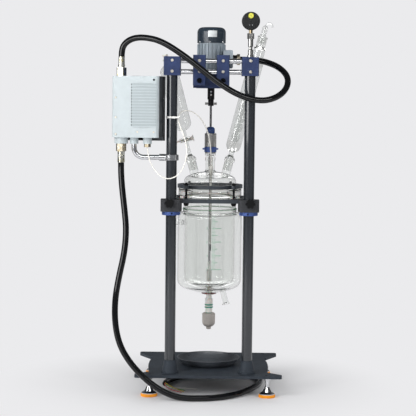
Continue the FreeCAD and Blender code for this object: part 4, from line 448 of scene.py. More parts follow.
def cowl_enamel():
    """Gloss enamel on a pressed steel cowl: dark slate with long soft reflections."""
    colour = bpy.context.scene.reactor_colours.cowl
    return coated("cowl_enamel", colour, 0.14, 8.0, (0.16, 0.28), 0.05)


def between(tree, value, low, high):
    """One where a value lies between two limits, zero elsewhere."""
    more = maths(tree, "GREATER_THAN", value, low)
    less = maths(tree, "LESS_THAN", value, high)
    return maths(tree, "MULTIPLY", more, less)


def box_coat():
    """Powder coat on cast aluminium: pale pebbled grey, a charcoal rim, painted shade between the ribs and
    darker painted shade at their left ends.
    """
    colour = bpy.context.scene.reactor_colours.box
    material, tree, shader = new_material("pebbled_powder_coat")
    dark, light = shades(colour, 0.045)
    vary_colour(tree, shader, grain(tree, 30), dark, light)
    fine = grain(tree, 2.2)
    vary_roughness(tree, shader, fine, 0.4, 0.56)
    raise_surface(tree, shader, fine, 0.12)

    place = add(tree, "ShaderNodeTexCoord")
    turned = add(tree, "ShaderNodeMapping", {"vector_type": "TEXTURE"}, {
        "Vector": place.outputs["Object"], "Location": BOX_EDGE, "Rotation": (0, 0, -BOX_YAW)})
    split = add(tree, "ShaderNodeSeparateXYZ", sockets={0: turned.outputs[0]})
    across, depth, height = split.outputs
    row = maths(tree, "PINGPONG", maths(tree, "SUBTRACT", height, RIB_Z), RIB_PITCH / 2)
    gap = between(tree, row, 0.0026, 0.0062)
    face = between(tree, depth, -0.0612, -0.0588)
    rows = between(tree, height, RIB_Z, RIB_Z + (RIB_COUNT - 1) * RIB_PITCH)
    gaps = maths(tree, "MULTIPLY", gap, maths(tree, "MULTIPLY", face, rows))
    # Painted shade: the gaps between the ribs on the front face are painted a darker grey
    painted_gap_shade = maths(tree, "MULTIPLY", gaps, between(tree, across, -0.012, 0.1))
    # Painted shade: near their left ends the rib gaps are painted a dark slate grey
    painted_end_shade = maths(tree, "MULTIPLY", gaps, between(tree, across, -0.0165, -0.0125))
    rim = maths(tree, "MULTIPLY", between(tree, depth, -0.042, 0.03), between(tree, height, BOX_LOW_Z, 1.5))
    part_shade(tree, shader, painted_gap_shade, paint("#a9b3b6"))
    part_shade(tree, shader, painted_end_shade, paint("#3a4044"))
    part_shade(tree, shader, rim, paint("#33373b"))
    return material


def cover_coat():
    """Powder coat on the box's cover: charcoal, fine-textured."""
    return coated("charcoal_powder_coat", linear("#3a3e42"), 0.16, 2.2, (0.42, 0.6), 0.12)


def hose_cover():
    """Extruded rubber hose cover: near black, smooth enough to carry a long highlight."""
    colour = bpy.context.scene.reactor_colours.hose
    material, tree, shader = new_material("extruded_hose_rubber", **{"Specular IOR Level": 0.4})
    dark, light = shades(colour, 0.3)
    vary_colour(tree, shader, grain(tree, 25), dark, light)
    vary_roughness(tree, shader, grain(tree, 9), 0.06, 0.1)
    raise_surface(tree, shader, grain(tree, 14), 0.02)
    return material


def cable_sheath(name, code):
    """PVC sheath: smooth extruded plastic with a soft shine."""
    return coated(name, linear(code), 0.06, 5.0, (0.28, 0.42), 0.04)


def fired_enamel():
    """Fired enamel print: thin green ceramic ink, a little uneven in density."""
    colour = bpy.context.scene.reactor_colours.marks
    return coated("fired_enamel", colour, 0.12, 3.0, (0.4, 0.55), 0.02)


def green_weld():
    """Fused glass weld: thick glass seen along the wall, dark bottle green."""
    return coated("fused_glass_weld", linear("#7cb388"), 0.3, 14.0, (0.08, 0.16), 0.2)


def dial_white():
    """Printed aluminium dial: flat white lacquer."""
    return coated("dial_lacquer", linear("#e9e9e5"), 0.03, 8.0, (0.4, 0.5), 0.01)


def dial_ink():
    """Black printing ink, slightly raised."""
    return coated("printing_ink", linear("#1d1e20"), 0.15, 2.0, (0.4, 0.55), 0.01)


def plain_label():
    """Blank aluminium plate: satin, off-white, with a rubbed grain across it."""
    material, tree, shader = new_material("satin_aluminium_plate", Metallic=0.25)
    rubbed = grain(tree, 3, (0.1, 0.1, 1.0))
    vary_colour(tree, shader, rubbed, paint("#c9ced2"), paint("#e4e7e8"))
    vary_roughness(tree, shader, rubbed, 0.35, 0.5)
    return material


def alone(piece):
    """Select only this piece and make it active."""
    bpy.ops.object.select_all(action="DESELECT")
    piece.select_set(True)
    bpy.context.view_layer.objects.active = piece


def made(add_tool, **settings):
    """What one of Blender's add tools makes, as the only selected object."""
    bpy.ops.object.select_all(action="DESELECT")
    add_tool(**settings)
    return bpy.context.active_object


def apply_place(piece):
    """Put the piece's place into its mesh, so that its object sits at the origin."""
    alone(piece)
    bpy.ops.object.transform_apply(location=True, rotation=True, scale=True)
    return piece


def apply_modifier(piece, kind, **settings):
    """Add a modifier with these settings and apply it."""
    alone(piece)
    modifier = piece.modifiers.new(kind.title(), kind)
    for name, value in settings.items():
        setattr(modifier, name, value)
    bpy.ops.object.modifier_apply(modifier=modifier.name)


def select_faces(piece, wanted):
    """In object mode, select exactly the faces that wanted(face) is true for, then enter edit mode."""
    alone(piece)
    for face in piece.data.polygons:
        face.select = wanted(face)
    piece.data.edges.foreach_set("select", [False] * len(piece.data.edges))
    piece.data.vertices.foreach_set("select", [False] * len(piece.data.vertices))
    for face in piece.data.polygons:
        if face.select:
            for corner in face.vertices:
                piece.data.vertices[corner].select = True
    bpy.ops.object.mode_set(mode="EDIT")
    bpy.ops.mesh.select_mode(type="FACE")


def press_faces(piece, wanted, rim, step):
    """Inset the wanted faces by a rim, then push or raise what is left by a step."""
    select_faces(piece, wanted)
    bpy.ops.mesh.inset(thickness=rim)
    bpy.ops.mesh.extrude_region_move(TRANSFORM_OT_translate={"value": step})
    bpy.ops.object.mode_set(mode="OBJECT")


def finish_piece(piece, name, material, body="stand"):
    """Name a modelled piece, give it its finish and let it ride."""
    apply_place(piece)
    piece.name = name
    piece.data.name = name
    piece.data.materials.clear()
    piece.data.materials.append(material)
    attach(piece, body)
    return piece


def join_pieces(pieces):
    """Several modelled pieces as one object."""
    alone(pieces[0])
    for piece in pieces:
        piece.select_set(True)
    bpy.ops.object.join()
    return pieces[0]


def wrap_round(piece, radius):
    """Bend a flat piece, modelled in the XZ plane facing -Y, round a cylinder on the vessel's axis."""
    apply_place(piece)
    for point in piece.data.vertices:
        reach = radius - point.co.y
        angle = (point.co.x - AXIS_X) / radius
        point.co.x = AXIS_X + reach * math.sin(angle)
        point.co.y = -reach * math.cos(angle)


def flat_strip(x, z, width, height, columns=10):
    """A flat strip in the XZ plane, facing -Y."""
    strip = made(bpy.ops.mesh.primitive_grid_add, x_subdivisions=columns, y_subdivisions=1, size=1,
                 location=(x, 0, z), rotation=(math.pi / 2, 0, 0))
    strip.scale = (width, height, 1)
    return apply_place(strip)


def written(text, height, location, rotation):
    """Plain numbers as a thin mesh."""
    words = made(bpy.ops.object.text_add, location=location, rotation=rotation)
    words.data.body = text
    words.data.size = height
    words.data.align_x = "CENTER"
    words.data.align_y = "CENTER"
    words.data.resolution_u = 4
    bpy.ops.object.convert(target="MESH")
    return apply_place(bpy.context.active_object)


def dress(material, *nodes):
    """Give CAD nodes their finish through their own material slots."""
    for node in nodes:
        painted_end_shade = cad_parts[node].material_slots
        for slot in painted_end_shade:
            slot.material = material


class REACTOR_OT_stand(bpy.types.Operator):
    """Coat the stand: plate, feet, posts, clamps, knobs, collars and drip tray"""

    bl_idname = "reactor.stand"
    bl_label = "Stand finishes"

    def execute(self, context):
        dress(powder_coated_steel(), "base_plate", "post_sockets")
        dress(powder_coated_ring(), "support_plate", "clamp_ring")
        dress(powder_coated_tube(), "posts")
        dress(foot_rubber(), "foot_pads")
        dress(tray_plastic(), "drip_tray")
        dress(painted_cast_iron(), "clamp_left", "clamp_right")
        dress(moulded_nylon(), "star_knob_left", "star_knob_right", "tie_rods")
        dress(plated_sleeve(), "hose_sleeves")
        dress(anodised_aluminium(), "corner_blocks", "motor_blocks", "motor_bracket")
        dress(anodised_collars(), "collars", "seal_ring")
        dress(chrome_plate(), "foot_cups", "head_rods", "carrying_tube", "tube_clamp")
        return {"FINISHED"}


class REACTOR_OT_glass(bpy.types.Operator):
    """Give the glassware, its seals and stoppers their finishes"""

    bl_idname = "reactor.glass"
    bl_label = "Glassware finishes"

    def execute(self, context):
        dress(borosilicate_glass("borosilicate_glass", "#fafbfa"), "jacketed_vessel", "lid")
        lampworked = borosilicate_glass("lampworked_glass", "#f0f1f0")
        dress(lampworked, "dropping_funnel", "condenser", "gas_adapter")
        dress(probe_sheath(), "probe")
        dress(turned_ptfe(), "flange_seats", "funnel_key", "stoppers", "drain_body", "drain_stem", "paddle")
        dress(grey_polypropylene(), "drain_knob")
        dress(seal_rubber(), "drain_rings")
        return {"FINISHED"}


class REACTOR_OT_drive(bpy.types.Operator):
    """Give the stirrer drive, its seal, the gauge and the control box their finishes"""

    bl_idname = "reactor.drive"
    bl_label = "Drive and box finishes"

    def execute(self, context):
        dress(turned_steel(), "seal_body", "thumb_screws")
        dress(shaft_steel(), "stirrer_shaft")
        dress(gauge_fitting(), "gauge_valve")
        dress(socket_screws(), "screws")
        dress(moulded_phenolic(), "coupling", "gauge_case", "gauge_needle", "speed_knob", "motor_gland")
        dress(blue_plastic(), "seal_cap")
        dress(motor_enamel(), "motor_body", "terminal_box")
        dress(cowl_enamel(), "motor_cowl")
        dress(plated_brass(), "brass_nuts")
        dress(yellow_plastic(), "relief_plug")
        dress(clear_acrylic(), "clear_panes")
        dress(box_coat(), "box_housing")
        dress(cover_coat(), "box_cover")
        dress(red_plastic(), "power_switch")
        return {"FINISHED"}


def route_curve(name, points, diameter, material):
    """A cord as one smooth NURBS line through the route's control points, in metres."""
    curve = bpy.data.curves.new(name, "CURVE")
    curve.dimensions = "3D"
    curve.resolution_u = 10
    curve.bevel_depth = diameter / 2
    curve.bevel_resolution = 5
    curve.use_fill_caps = True
    spline = curve.splines.new("NURBS")
    spline.points.add(len(points) - 1)
    for point, (x, y, z) in zip(spline.points, points):
        point.co = (x, y, z, 1)
    spline.order_u = 3
    spline.use_endpoint_u = True
    cord = bpy.data.objects.new(name, curve)
    bpy.context.scene.collection.objects.link(cord)
    curve.materials.append(material)
    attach(cord, "stand")
    return cord


# The cords' routes from the CAD source, in metres
UPPER_HOSE = [
    (-0.3327, -0.2069, 1.459), (-0.3327, -0.2069, 1.49), (-0.318, -0.21, 1.518), (-0.286, -0.216, 1.538),
    (-0.238, -0.225, 1.543), (-0.163, -0.242, 1.528), (-0.058, -0.254, 1.462), (0.052, -0.256, 1.374),
    (0.157, -0.268, 1.303), (0.257, -0.282, 1.274), (0.327, -0.268, 1.288), (0.374, -0.235, 1.326),
    (0.385, -0.195, 1.376), (0.354, -0.15, 1.418), (0.3, -0.108, 1.444), (0.24, -0.075, 1.456),
    (0.177, -0.075, 1.456)]
LOWER_HOSE = [
    (-0.3327, -0.2069, 1.006), (-0.3327, -0.2069, 0.96), (-0.326, -0.222, 0.89), (-0.314, -0.24, 0.8),
    (-0.305, -0.258, 0.715), (-0.312, -0.278, 0.62), (-0.334, -0.292, 0.52), (-0.35, -0.305, 0.42),
    (-0.348, -0.318, 0.32), (-0.328, -0.328, 0.232), (-0.282, -0.336, 0.156), (-0.22, -0.344, 0.092),
    (-0.152, -0.352, 0.042), (-0.078, -0.36, 0.0136), (0.012, -0.374, 0.0136), (0.107, -0.345, 0.0136),
    (0.182, -0.27, 0.0136), (0.237, -0.17, 0.0136), (0.278, -0.06, 0.0136), (0.294, 0.05, 0.0136),
    (0.267, 0.15, 0.0136), (0.182, 0.215, 0.0136), (0.062, 0.215, 0.0136), (-0.038, 0.165, 0.0136),
    (-0.103, 0.08, 0.0136), (-0.138, -0.01, 0.0136), (-0.138, -0.056, 0.0136)]
SENSOR_CABLE = [
    (-0.2187, -0.2332, 1.074), (-0.217, -0.236, 1.052), (-0.208, -0.24, 1.014), (-0.188, -0.243, 0.976),
    (-0.154, -0.248, 0.944), (-0.116, -0.254, 0.938), (-0.078, -0.258, 0.962), (-0.054, -0.258, 1.01),
    (-0.048, -0.256, 1.062), (-0.056, -0.252, 1.108), (-0.072, -0.246, 1.148), (-0.086, -0.235, 1.18),
    (-0.089, -0.212, 1.206), (-0.078, -0.186, 1.226), (-0.048, -0.156, 1.234), (-0.01, -0.13, 1.218),
    (0.022, -0.108, 1.18), (0.042, -0.092, 1.13), (0.052, -0.08, 1.076), (0.055, -0.068, 1.028),
    (0.055, -0.066, 0.99)]
WIRES = {
    "green": ("#3f8f4a", 0.1422, [
        (-0.135, -0.056, 0.014), (-0.135, -0.068, 0.014), (-0.128, -0.092, 0.014), (-0.112, -0.122, 0.011),
        (-0.082, -0.144, 0.006), (-0.048, -0.152, 0.003)]),
    "yellow": ("#d9b93c", 0.1598, [
        (-0.138, -0.056, 0.018), (-0.138, -0.068, 0.018), (-0.132, -0.094, 0.02), (-0.112, -0.13, 0.016),
        (-0.082, -0.16, 0.008), (-0.054, -0.184, 0.003)]),
    "red": ("#c4342f", 0.1674, [
        (-0.141, -0.056, 0.014), (-0.141, -0.068, 0.014), (-0.138, -0.098, 0.012), (-0.124, -0.136, 0.008),
        (-0.096, -0.168, 0.004), (-0.064, -0.196, 0.003)]),
    "white": ("#dedcd6", 0.177, [
        (-0.138, -0.056, 0.01), (-0.138, -0.068, 0.01), (-0.126, -0.09, 0.006), (-0.104, -0.108, 0.005),
        (-0.072, -0.124, 0.007), (-0.032, -0.13, 0.008), (0.004, -0.124, 0.003)]),
}


class REACTOR_OT_cords(bpy.types.Operator):
    """Lay the two hoses, the sensor's cable and the bare wires"""

    bl_idname = "reactor.cords"
    bl_label = "Hoses and cables"

    def execute(self, context):
        sizes = context.scene.reactor_sizes
        rubber = hose_cover()
        upper = route_curve("motor_hose", UPPER_HOSE, sizes.hose, rubber)
        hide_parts("upper_hose")
        for name, (code, length, points) in WIRES.items():
            sheath = cable_sheath(name + "_wire_sheath", code)
            wire = route_curve(name + "_wire", points, sizes.wire, sheath)
        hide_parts("wire_ends")
        lower = route_curve("supply_hose", LOWER_HOSE, sizes.hose, rubber)
        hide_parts("lower_hose")
        white = cable_sheath("white_cable_sheath", "#f6f3ec")
        cable = route_curve("probe_cable", SENSOR_CABLE, sizes.cable, white)
        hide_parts("sensor_cable")
        return {"FINISHED"}


class REACTOR_OT_marks(bpy.types.Operator):
    """Print the graduation on the inner vessel and lay the weld at its neck"""

    bl_idname = "reactor.marks"
    bl_label = "Graduation and weld"

    def execute(self, context):
        sizes = context.scene.reactor_sizes
        wall = 0.1123
        left = AXIS_X + 0.0098
        levels = {0.7150: "8", 0.6555: "6", 0.5945: "4", 0.5335: "2"}
        pieces = []
        litre = 0.0302
        long_mark = sizes.major_mark
        mark = sizes.minor_mark
        short = mark * 0.6
        for level, number in levels.items():
            pieces.append(flat_strip(left + long_mark / 2, level, long_mark, sizes.mark_line))
            pieces.append(flat_strip(left + mark / 2, level + litre, mark, sizes.mark_line))
            for share in (0.2, 0.4, 0.6, 0.8, 1.2, 1.4, 1.6, 1.8):
                height = level + litre * share
                pieces.append(flat_strip(left + short / 2, height, short, sizes.mark_line * 0.5, 4))
            pieces.append(written(number, sizes.digit, (left - 0.02, 0, level), (math.pi / 2, 0, 0)))
        marks = join_pieces(pieces)
        wrap_round(marks, wall)
        apply_modifier(marks, "SOLIDIFY", thickness=0.00015, offset=0)
        finish_piece(marks, "graduation", fired_enamel())

        weld = made(bpy.ops.mesh.primitive_torus_add, major_radius=0.1195, minor_radius=0.0021,
                    major_segments=96, minor_segments=10, location=(AXIS_X, 0, 0.7945))
        bpy.ops.object.mode_set(mode="EDIT")
        bpy.ops.mesh.select_all(action="SELECT")
        bpy.ops.transform.resize(value=(1, 1, 0.7))
        bpy.ops.object.mode_set(mode="OBJECT")
        finish_piece(weld, "neck_weld", green_weld())
        alone(weld)
        bpy.ops.object.shade_smooth()
        return {"FINISHED"}


class REACTOR_OT_tie(bpy.types.Operator):
    """Strap the sensor's cable to the left post"""

    bl_idname = "reactor.tie"
    bl_label = "Cable tie"

    def execute(self, context):
        sizes = context.scene.reactor_sizes
        post = Vector((-0.115, -0.220, 1.1985))
        band_r = 0.0242
        cable_way = math.atan2(-0.223 - post.y, -0.0885 - post.x)
        band = apply_place(made(bpy.ops.mesh.primitive_circle_add, vertices=72, radius=band_r,
                                fill_type="NOTHING", location=post))
        for point in band.data.vertices:
            turn = math.atan2(point.co.y - post.y, point.co.x - post.x) - cable_way
            turn = math.atan2(math.sin(turn), math.cos(turn))
            bulge = 0.0062 * math.exp(-(turn / 0.24) ** 2)
            outward = Vector((point.co.x - post.x, point.co.y - post.y, 0)).normalized()
            point.co += outward * bulge
        alone(band)
        bpy.ops.object.mode_set(mode="EDIT")
        bpy.ops.mesh.select_all(action="SELECT")
        bpy.ops.mesh.extrude_edges_move(TRANSFORM_OT_translate={"value": (0, 0, sizes.tie_band)})
        bpy.ops.mesh.select_all(action="SELECT")
        bpy.ops.mesh.normals_make_consistent(inside=False)
        bpy.ops.object.mode_set(mode="OBJECT")
        apply_modifier(band, "SOLIDIFY", thickness=0.0012, offset=1)
        apply_modifier(band, "BEVEL", width=0.0003, segments=2)

        head_x = post.x + 0.008
        front = post.y - band_r
        middle = post.z + sizes.tie_band / 2
        head = apply_place(made(
            bpy.ops.mesh.primitive_cube_add, size=1, location=(head_x, front - 0.0035, middle),
            scale=(0.011, 0.0065, sizes.tie_band * 1.25)))
        press_faces(head, lambda face: face.normal.x < -0.9, 0.0018, (0.002, 0, 0))
        apply_modifier(head, "BEVEL", width=0.0008, segments=2)
        tail = apply_place(made(
            bpy.ops.mesh.primitive_cube_add, size=1, location=(head_x + 0.012, front - 0.004, middle),
            scale=(0.016, 0.0014, sizes.tie_band * 0.8)))
        select_faces(tail, lambda face: face.normal.x > 0.9)
        bpy.ops.mesh.extrude_region_move(TRANSFORM_OT_translate={"value": (0.007, -0.004, 0.006)})
        bpy.ops.transform.resize(value=(1, 1, 0.6))
        bpy.ops.object.mode_set(mode="OBJECT")
        apply_modifier(tail, "BEVEL", width=0.0003, segments=2)
        tie = join_pieces([band, head, tail])
        finish_piece(tie, "cable_tie", cable_sheath("nylon_tie", "#e9e8e4"))
        return {"FINISHED"}


def box_point(x, y, z):
    """A point in the control box's own directions, counted from its corner edge."""
    return Vector((
        BOX_EDGE.x + x * math.cos(BOX_YAW) + y * math.sin(BOX_YAW),
        BOX_EDGE.y - x * math.sin(BOX_YAW) + y * math.cos(BOX_YAW), z))


class REACTOR_OT_box_fittings(bpy.types.Operator):
    """Add the control box's catches and the scales round its two controls"""

    bl_idname = "reactor.box_fittings"
    bl_label = "Box fittings"

    def execute(self, context):
        turn = (0, 0, -BOX_YAW)
        catches = []
        for x, z, drop in ((-0.012, 1.3745, -1), (0.004, 1.1095, 1)):
            catch = apply_place(made(
                bpy.ops.mesh.primitive_cube_add, size=1, location=box_point(x, 0.012, z), rotation=turn,
                scale=(0.038, 0.024, 0.008)))
            press_faces(catch, lambda face: face.normal.z * drop > 0.9, 0.004, (0, 0, 0.0025 * drop))
            apply_modifier(catch, "BEVEL", width=0.0012, segments=2)
            catches.append(catch)
        finish_piece(join_pieces(catches), "box_catches", moulded_nylon())

        ink = []
        panel_y = 0.0602
        sweep = 300
        digit_reach = 1.33
        away = math.pi - BOX_YAW
        for x, count, radius in ((-0.045, 11, 0.0235), (0.045, 5, 0.0225)):
            for step in range(count):
                angle = math.radians(sweep / 2 - sweep * step / (count - 1))
                along = math.sin(angle) * radius
                up = math.cos(angle) * radius
                mark = made(bpy.ops.mesh.primitive_plane_add, size=1, rotation=(math.pi / 2, angle, away),
                            location=box_point(x + along, panel_y, CONTROL_Z + up))
                mark.scale = (0.0009, 0.0036, 1)
                ink.append(apply_place(mark))
                if count == 11 and step % 2 == 0:
                    place = box_point(x + along * digit_reach, panel_y, CONTROL_Z + up * digit_reach)
                    ink.append(written(str(step), 0.0058, place, (math.pi / 2, 0, away)))
        scales = join_pieces(ink)
        apply_modifier(scales, "SOLIDIFY", thickness=0.0002, offset=0)
        finish_piece(scales, "control_scales", plain_label())
        return {"FINISHED"}


class REACTOR_OT_gauge_fittings(bpy.types.Operator):
    """Add the gauge's dial with its scale, and the screws on its back"""

    bl_idname = "reactor.gauge_fittings"
    bl_label = "Gauge fittings"

    def execute(self, context):
        low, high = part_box("gauge_case")
        centre = Vector(((low.x + high.x) / 2, 0, (low.z + high.z) / 2))
        dial_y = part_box("gauge_needle")[0].y + 0.0026
        print_y = dial_y + 0.0004
        dial = apply_place(made(
            bpy.ops.mesh.primitive_circle_add, vertices=64, radius=0.0335, fill_type="NGON",
            location=(centre.x, dial_y, centre.z), rotation=(-math.pi / 2, 0, 0)))
        press_faces(dial, lambda face: True, 0.002, (0, 0.0002, 0))
        finish_piece(dial, "gauge_dial", dial_white())

        ink = []
        divisions = 50
        sweep = 270
        digit_r = 0.0222
        for step in range(divisions + 1):
            angle = math.radians(-sweep / 2 + sweep * step / divisions)
            long_mark = step % 10 == 0
            radius = 0.0285 if long_mark else 0.0295
            outward = Vector((-math.sin(angle), 0, math.cos(angle)))
            middle = Vector((centre.x, print_y, centre.z))
            mark = made(bpy.ops.mesh.primitive_plane_add, size=1, location=middle + outward * radius,
                        rotation=(-math.pi / 2, -angle, 0))
            mark.scale = (0.0009 if long_mark else 0.0004, 0.0046 if long_mark else 0.0026, 1)
            ink.append(apply_place(mark))
            if long_mark:
                place = middle + outward * digit_r
                ink.append(written(str(step * 2), 0.0062, place, (math.pi / 2, 0, math.pi)))
        print_layer = join_pieces(ink)
        apply_modifier(print_layer, "SOLIDIFY", thickness=0.0001, offset=0)
        finish_piece(print_layer, "dial_print", dial_ink())

        screws = []
        for side in (-1, 1):
            place = (centre.x + side * 0.006, low.y + 0.0002, centre.z - 0.017)
            screw = apply_place(made(
                bpy.ops.mesh.primitive_cylinder_add, vertices=24, radius=0.0026, depth=0.002,
                location=place, rotation=(math.pi / 2, 0, 0)))
            press_faces(screw, lambda face: face.normal.y < -0.9, 0.0011, (0, 0.0006, 0))
            apply_modifier(screw, "BEVEL", width=0.0003, segments=2)
            screws.append(screw)
        finish_piece(join_pieces(screws), "gauge_screws", chrome_plate())
        return {"FINISHED"}


class REACTOR_OT_coupling_pins(bpy.types.Operator):
    """Show the two light pins in the coupling's sight holes"""

    bl_idname = "reactor.coupling_pins"
    bl_label = "Coupling pins"

    def execute(self, context):
        pins = []
        for level in (1.301, 1.315):
            pin = apply_place(made(
                bpy.ops.mesh.primitive_cylinder_add, vertices=32, radius=0.0041, depth=0.006,
                location=(AXIS_X, -0.0118, level), rotation=(math.pi / 2, 0, 0)))
            press_faces(pin, lambda face: face.normal.y < -0.9, 0.0008, (0, -0.0005, 0))
            pins.append(pin)
        finish_piece(join_pieces(pins), "coupling_pins", turned_ptfe(), "stirrer")
        return {"FINISHED"}


class REACTOR_OT_motor_fittings(bpy.types.Operator):
    """Add the motor's blank plate and the screws of its cowl"""

    bl_idname = "reactor.motor_fittings"
    bl_label = "Motor fittings"

    def execute(self, context):
        plate = flat_strip(AXIS_X + 0.004, 1.568, 0.040, 0.028, 16)
        wrap_round(plate, COWL_R)
        apply_modifier(plate, "SOLIDIFY", thickness=0.0008, offset=1)
        apply_modifier(plate, "BEVEL", width=0.0002, segments=2)
        finish_piece(plate, "blank_plate", plain_label())

        screws = []
        for angle in (-140, -52, -8, 50, 130, 172):
            turn = math.radians(angle)
            outward = Vector((math.sin(turn), -math.cos(turn), 0))
            screw = apply_place(made(
                bpy.ops.mesh.primitive_cylinder_add, vertices=24, radius=0.0042, depth=0.004,
                location=Vector((AXIS_X, 0, 1.5335)) + outward * COWL_R, rotation=(math.pi / 2, 0, turn)))
            press_faces(screw, lambda face: face.normal.dot(outward) > 0.9, 0.0016, -outward * 0.001)
            apply_modifier(screw, "BEVEL", width=0.0005, segments=2)
            screws.append(screw)
        finish_piece(join_pieces(screws), "cowl_screws", chrome_plate())
        return {"FINISHED"}


def studio_floor():
    """Seamless pale vinyl: it takes the object's shadow and fades into the backdrop."""
    material, tree, shader = new_material("seamless_vinyl", Roughness=0.7)
    shader.inputs["Base Color"].default_value = paint("#e6e6e8")
    place = add(tree, "ShaderNodeTexCoord")
    far = add(tree, "ShaderNodeVectorMath", {"operation": "LENGTH"}, {0: place.outputs["Object"]})
    fade = add(tree, "ShaderNodeMapRange", {"interpolation_type": "SMOOTHSTEP"}, {
        "Value": far.outputs["Value"], "From Min": 0.35, "From Max": 0.95})
    path = add(tree, "ShaderNodeLightPath")
    seen = add(tree, "ShaderNodeMath", {"operation": "ADD", "use_clamp": True}, {
        0: path.outputs["Is Camera Ray"], 1: path.outputs["Is Transmission Ray"]})
    share = maths(tree, "MULTIPLY", fade.outputs[0], seen.outputs[0])
    glow = add(tree, "ShaderNodeEmission", sockets={"Color": paint(BACKGROUND)})
    mixed = blend(tree, share, shader.outputs[0], glow.outputs[0])
    tree.links.new(mixed, tree.nodes["Material Output"].inputs["Surface"])
    return material


def studio_world():
    """An even room for the light, and the pale backdrop for what the camera and the glass see."""
    world = bpy.data.worlds.new("studio_world")
    world.use_nodes = True
    tree = world.node_tree
    tree.nodes.clear()
    room = add(tree, "ShaderNodeBackground", sockets={"Color": paint("#ffffff"), "Strength": 0.62})
    backdrop = add(tree, "ShaderNodeBackground", sockets={"Color": paint(BACKGROUND), "Strength": 1.0})
    path = add(tree, "ShaderNodeLightPath")
    direct = maths(tree, "MAXIMUM", path.outputs["Is Camera Ray"], path.outputs["Is Transmission Ray"])
    # Reflections see a dim room, darker towards its ceiling
    way = add(tree, "ShaderNodeTexCoord")
    split = add(tree, "ShaderNodeSeparateXYZ", sockets={0: way.outputs["Generated"]})
    rise = add(tree, "ShaderNodeMapRange", {"interpolation_type": "SMOOTHSTEP"}, {
        "Value": split.outputs["Z"], "From Min": -0.1, "From Max": 0.6, "To Min": 0.26, "To Max": 0.12})
    walls = add(tree, "ShaderNodeBackground", sockets={
        "Color": paint("#f2f4f8"), "Strength": rise.outputs[0]})
    lit = blend(tree, path.outputs["Is Glossy Ray"], room.outputs[0], walls.outputs[0])
    mixed = blend(tree, direct, lit, backdrop.outputs[0])
    add(tree, "ShaderNodeOutputWorld", sockets={"Surface": mixed})
    bpy.context.scene.world = world


def softbox(name, location, target, size, energy):
    """A soft area lamp aimed at a point."""
    bpy.ops.object.light_add(type="AREA", location=location)
    lamp = bpy.context.active_object
    lamp.name = name
    lamp.data.shape = "RECTANGLE"
    lamp.data.size = size[0]
    lamp.data.size_y = size[1]
    lamp.data.energy = energy
    lamp.rotation_euler = (Vector(target) - Vector(location)).to_track_quat("-Z", "Y").to_euler()
    lamp.visible_glossy = False


def card_light(name, strength):
    """The evenly lit cloth of a studio card."""
    material = bpy.data.materials.new(name)
    material.use_nodes = True
    tree = material.node_tree
    tree.nodes.clear()
    glow = add(tree, "ShaderNodeEmission", sockets={"Color": paint("#ffffff"), "Strength": strength})
    add(tree, "ShaderNodeOutputMaterial", sockets={"Surface": glow.outputs[0]})
    return material


def studio_card(name, location, size, turn, material):
    """A card that only reflections see: a dark one draws dark bands on metal, a lit one the highlights."""
    card = made(bpy.ops.mesh.primitive_plane_add, size=1, location=location, rotation=(math.pi / 2, 0, turn))
    card.scale = (size[0], size[1], 1)
    apply_place(card)
    card.name = name
    card.data.materials.append(material)
    card.visible_camera = False
    card.visible_diffuse = False
    card.visible_shadow = False
    card.visible_transmission = False


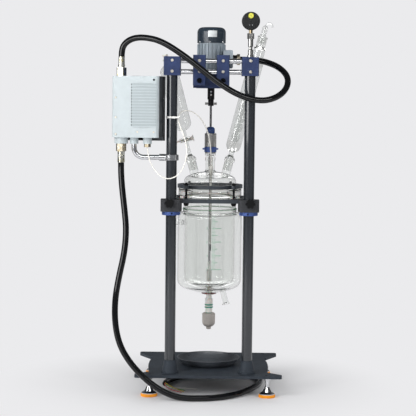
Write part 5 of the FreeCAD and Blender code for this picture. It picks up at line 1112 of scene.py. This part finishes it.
class REACTOR_OT_stage(bpy.types.Operator):
    """Set the floor, the world, the lamps and the camera"""

    bl_idname = "reactor.stage"
    bl_label = "Studio"

    def execute(self, context):
        scene = context.scene
        floor = made(bpy.ops.mesh.primitive_plane_add, size=14, location=(0, 0, 0))
        floor.name = "studio_floor"
        floor.data.materials.append(studio_floor())
        studio_world()
        softbox("key_softbox", (-2.9, -2.9, 2.4), (0, 0, 0.8), (1.3, 3.0), 115)
        softbox("fill_softbox", (2.8, -2.8, 1.9), (0, 0, 0.8), (0.7, 2.4), 40)
        softbox("back_softbox", (0.4, 3.2, 2.8), (0, 0, 0.9), (2.4, 1.4), 24)
        felt = coated("black_felt", linear("#0c0c0d"), 0.2, 20.0, (0.9, 1.0), 0.5)
        studio_card("left_flag", (-3.2, 0.4, 1.2), (1.4, 3.6), math.pi / 2, felt)
        studio_card("right_flag", (3.2, 0.4, 1.2), (1.4, 3.6), -math.pi / 2, felt)
        window_cloth = card_light("window_cloth", 5.0)
        studio_card("window_card", (-2.5, -2.5, 1.8), (2.6, 1.6), -math.pi / 4, window_cloth)
        studio_card("strip_card", (0, -2.3, 2.25), (2.8, 0.34), 0, card_light("strip_cloth", 9.0))
        scene.view_settings.view_transform = "Standard"
        # Glass walls stand one behind the other, and a ray has to pass them all
        bounces = 28
        scene.cycles.max_bounces = bounces
        scene.cycles.transmission_bounces = bounces
        scene.cycles.transparent_max_bounces = bounces

        look_down = math.radians(4.33)
        lean = math.radians(0.6)
        camera = made(bpy.ops.object.camera_add, location=(0.044, -6.350, 1.278))
        camera.name = "photo_camera"
        camera.data.lens = 123.4
        camera.data.sensor_width = 36
        tilt = Matrix.Rotation(math.pi / 2 - look_down, 4, "X")
        roll = Matrix.Rotation(lean, 4, "Z")
        camera.matrix_world = Matrix.Translation(camera.location) @ tilt @ roll
        scene.camera = camera
        return {"FINISHED"}


STEPS = (REACTOR_OT_stage, REACTOR_OT_cords, REACTOR_OT_stand, REACTOR_OT_glass, REACTOR_OT_drive,
         REACTOR_OT_marks, REACTOR_OT_tie, REACTOR_OT_box_fittings, REACTOR_OT_gauge_fittings,
         REACTOR_OT_coupling_pins, REACTOR_OT_motor_fittings)


class REACTOR_PT_panel(bpy.types.Panel):
    """Colours, sizes and steps of the reactor"""

    bl_idname = "REACTOR_PT_panel"
    bl_label = "Glass reactor"
    bl_space_type = "VIEW_3D"
    bl_region_type = "UI"
    bl_category = "Reactor"

    def draw(self, context):
        for group in (context.scene.reactor_colours, context.scene.reactor_sizes):
            column = self.layout.column(align=True)
            for name in group.__annotations__:
                column.prop(group, name)
        for step in STEPS:
            self.layout.operator(step.bl_idname)


CLASSES = (ReactorColours, ReactorSizes, *STEPS, REACTOR_PT_panel)


def register():
    for item in CLASSES:
        bpy.utils.register_class(item)
    bpy.types.Scene.reactor_colours = bpy.props.PointerProperty(type=ReactorColours)
    bpy.types.Scene.reactor_sizes = bpy.props.PointerProperty(type=ReactorSizes)


def unregister():
    del bpy.types.Scene.reactor_sizes
    del bpy.types.Scene.reactor_colours
    for item in reversed(CLASSES):
        bpy.utils.unregister_class(item)


def main():
    """Register the add-on, make every piece in order and note the two boxes."""
    register()
    for step in STEPS:
        group, name = step.bl_idname.split(".")
        getattr(getattr(bpy.ops, group), name)()


if __name__ == "__main__":
    main()
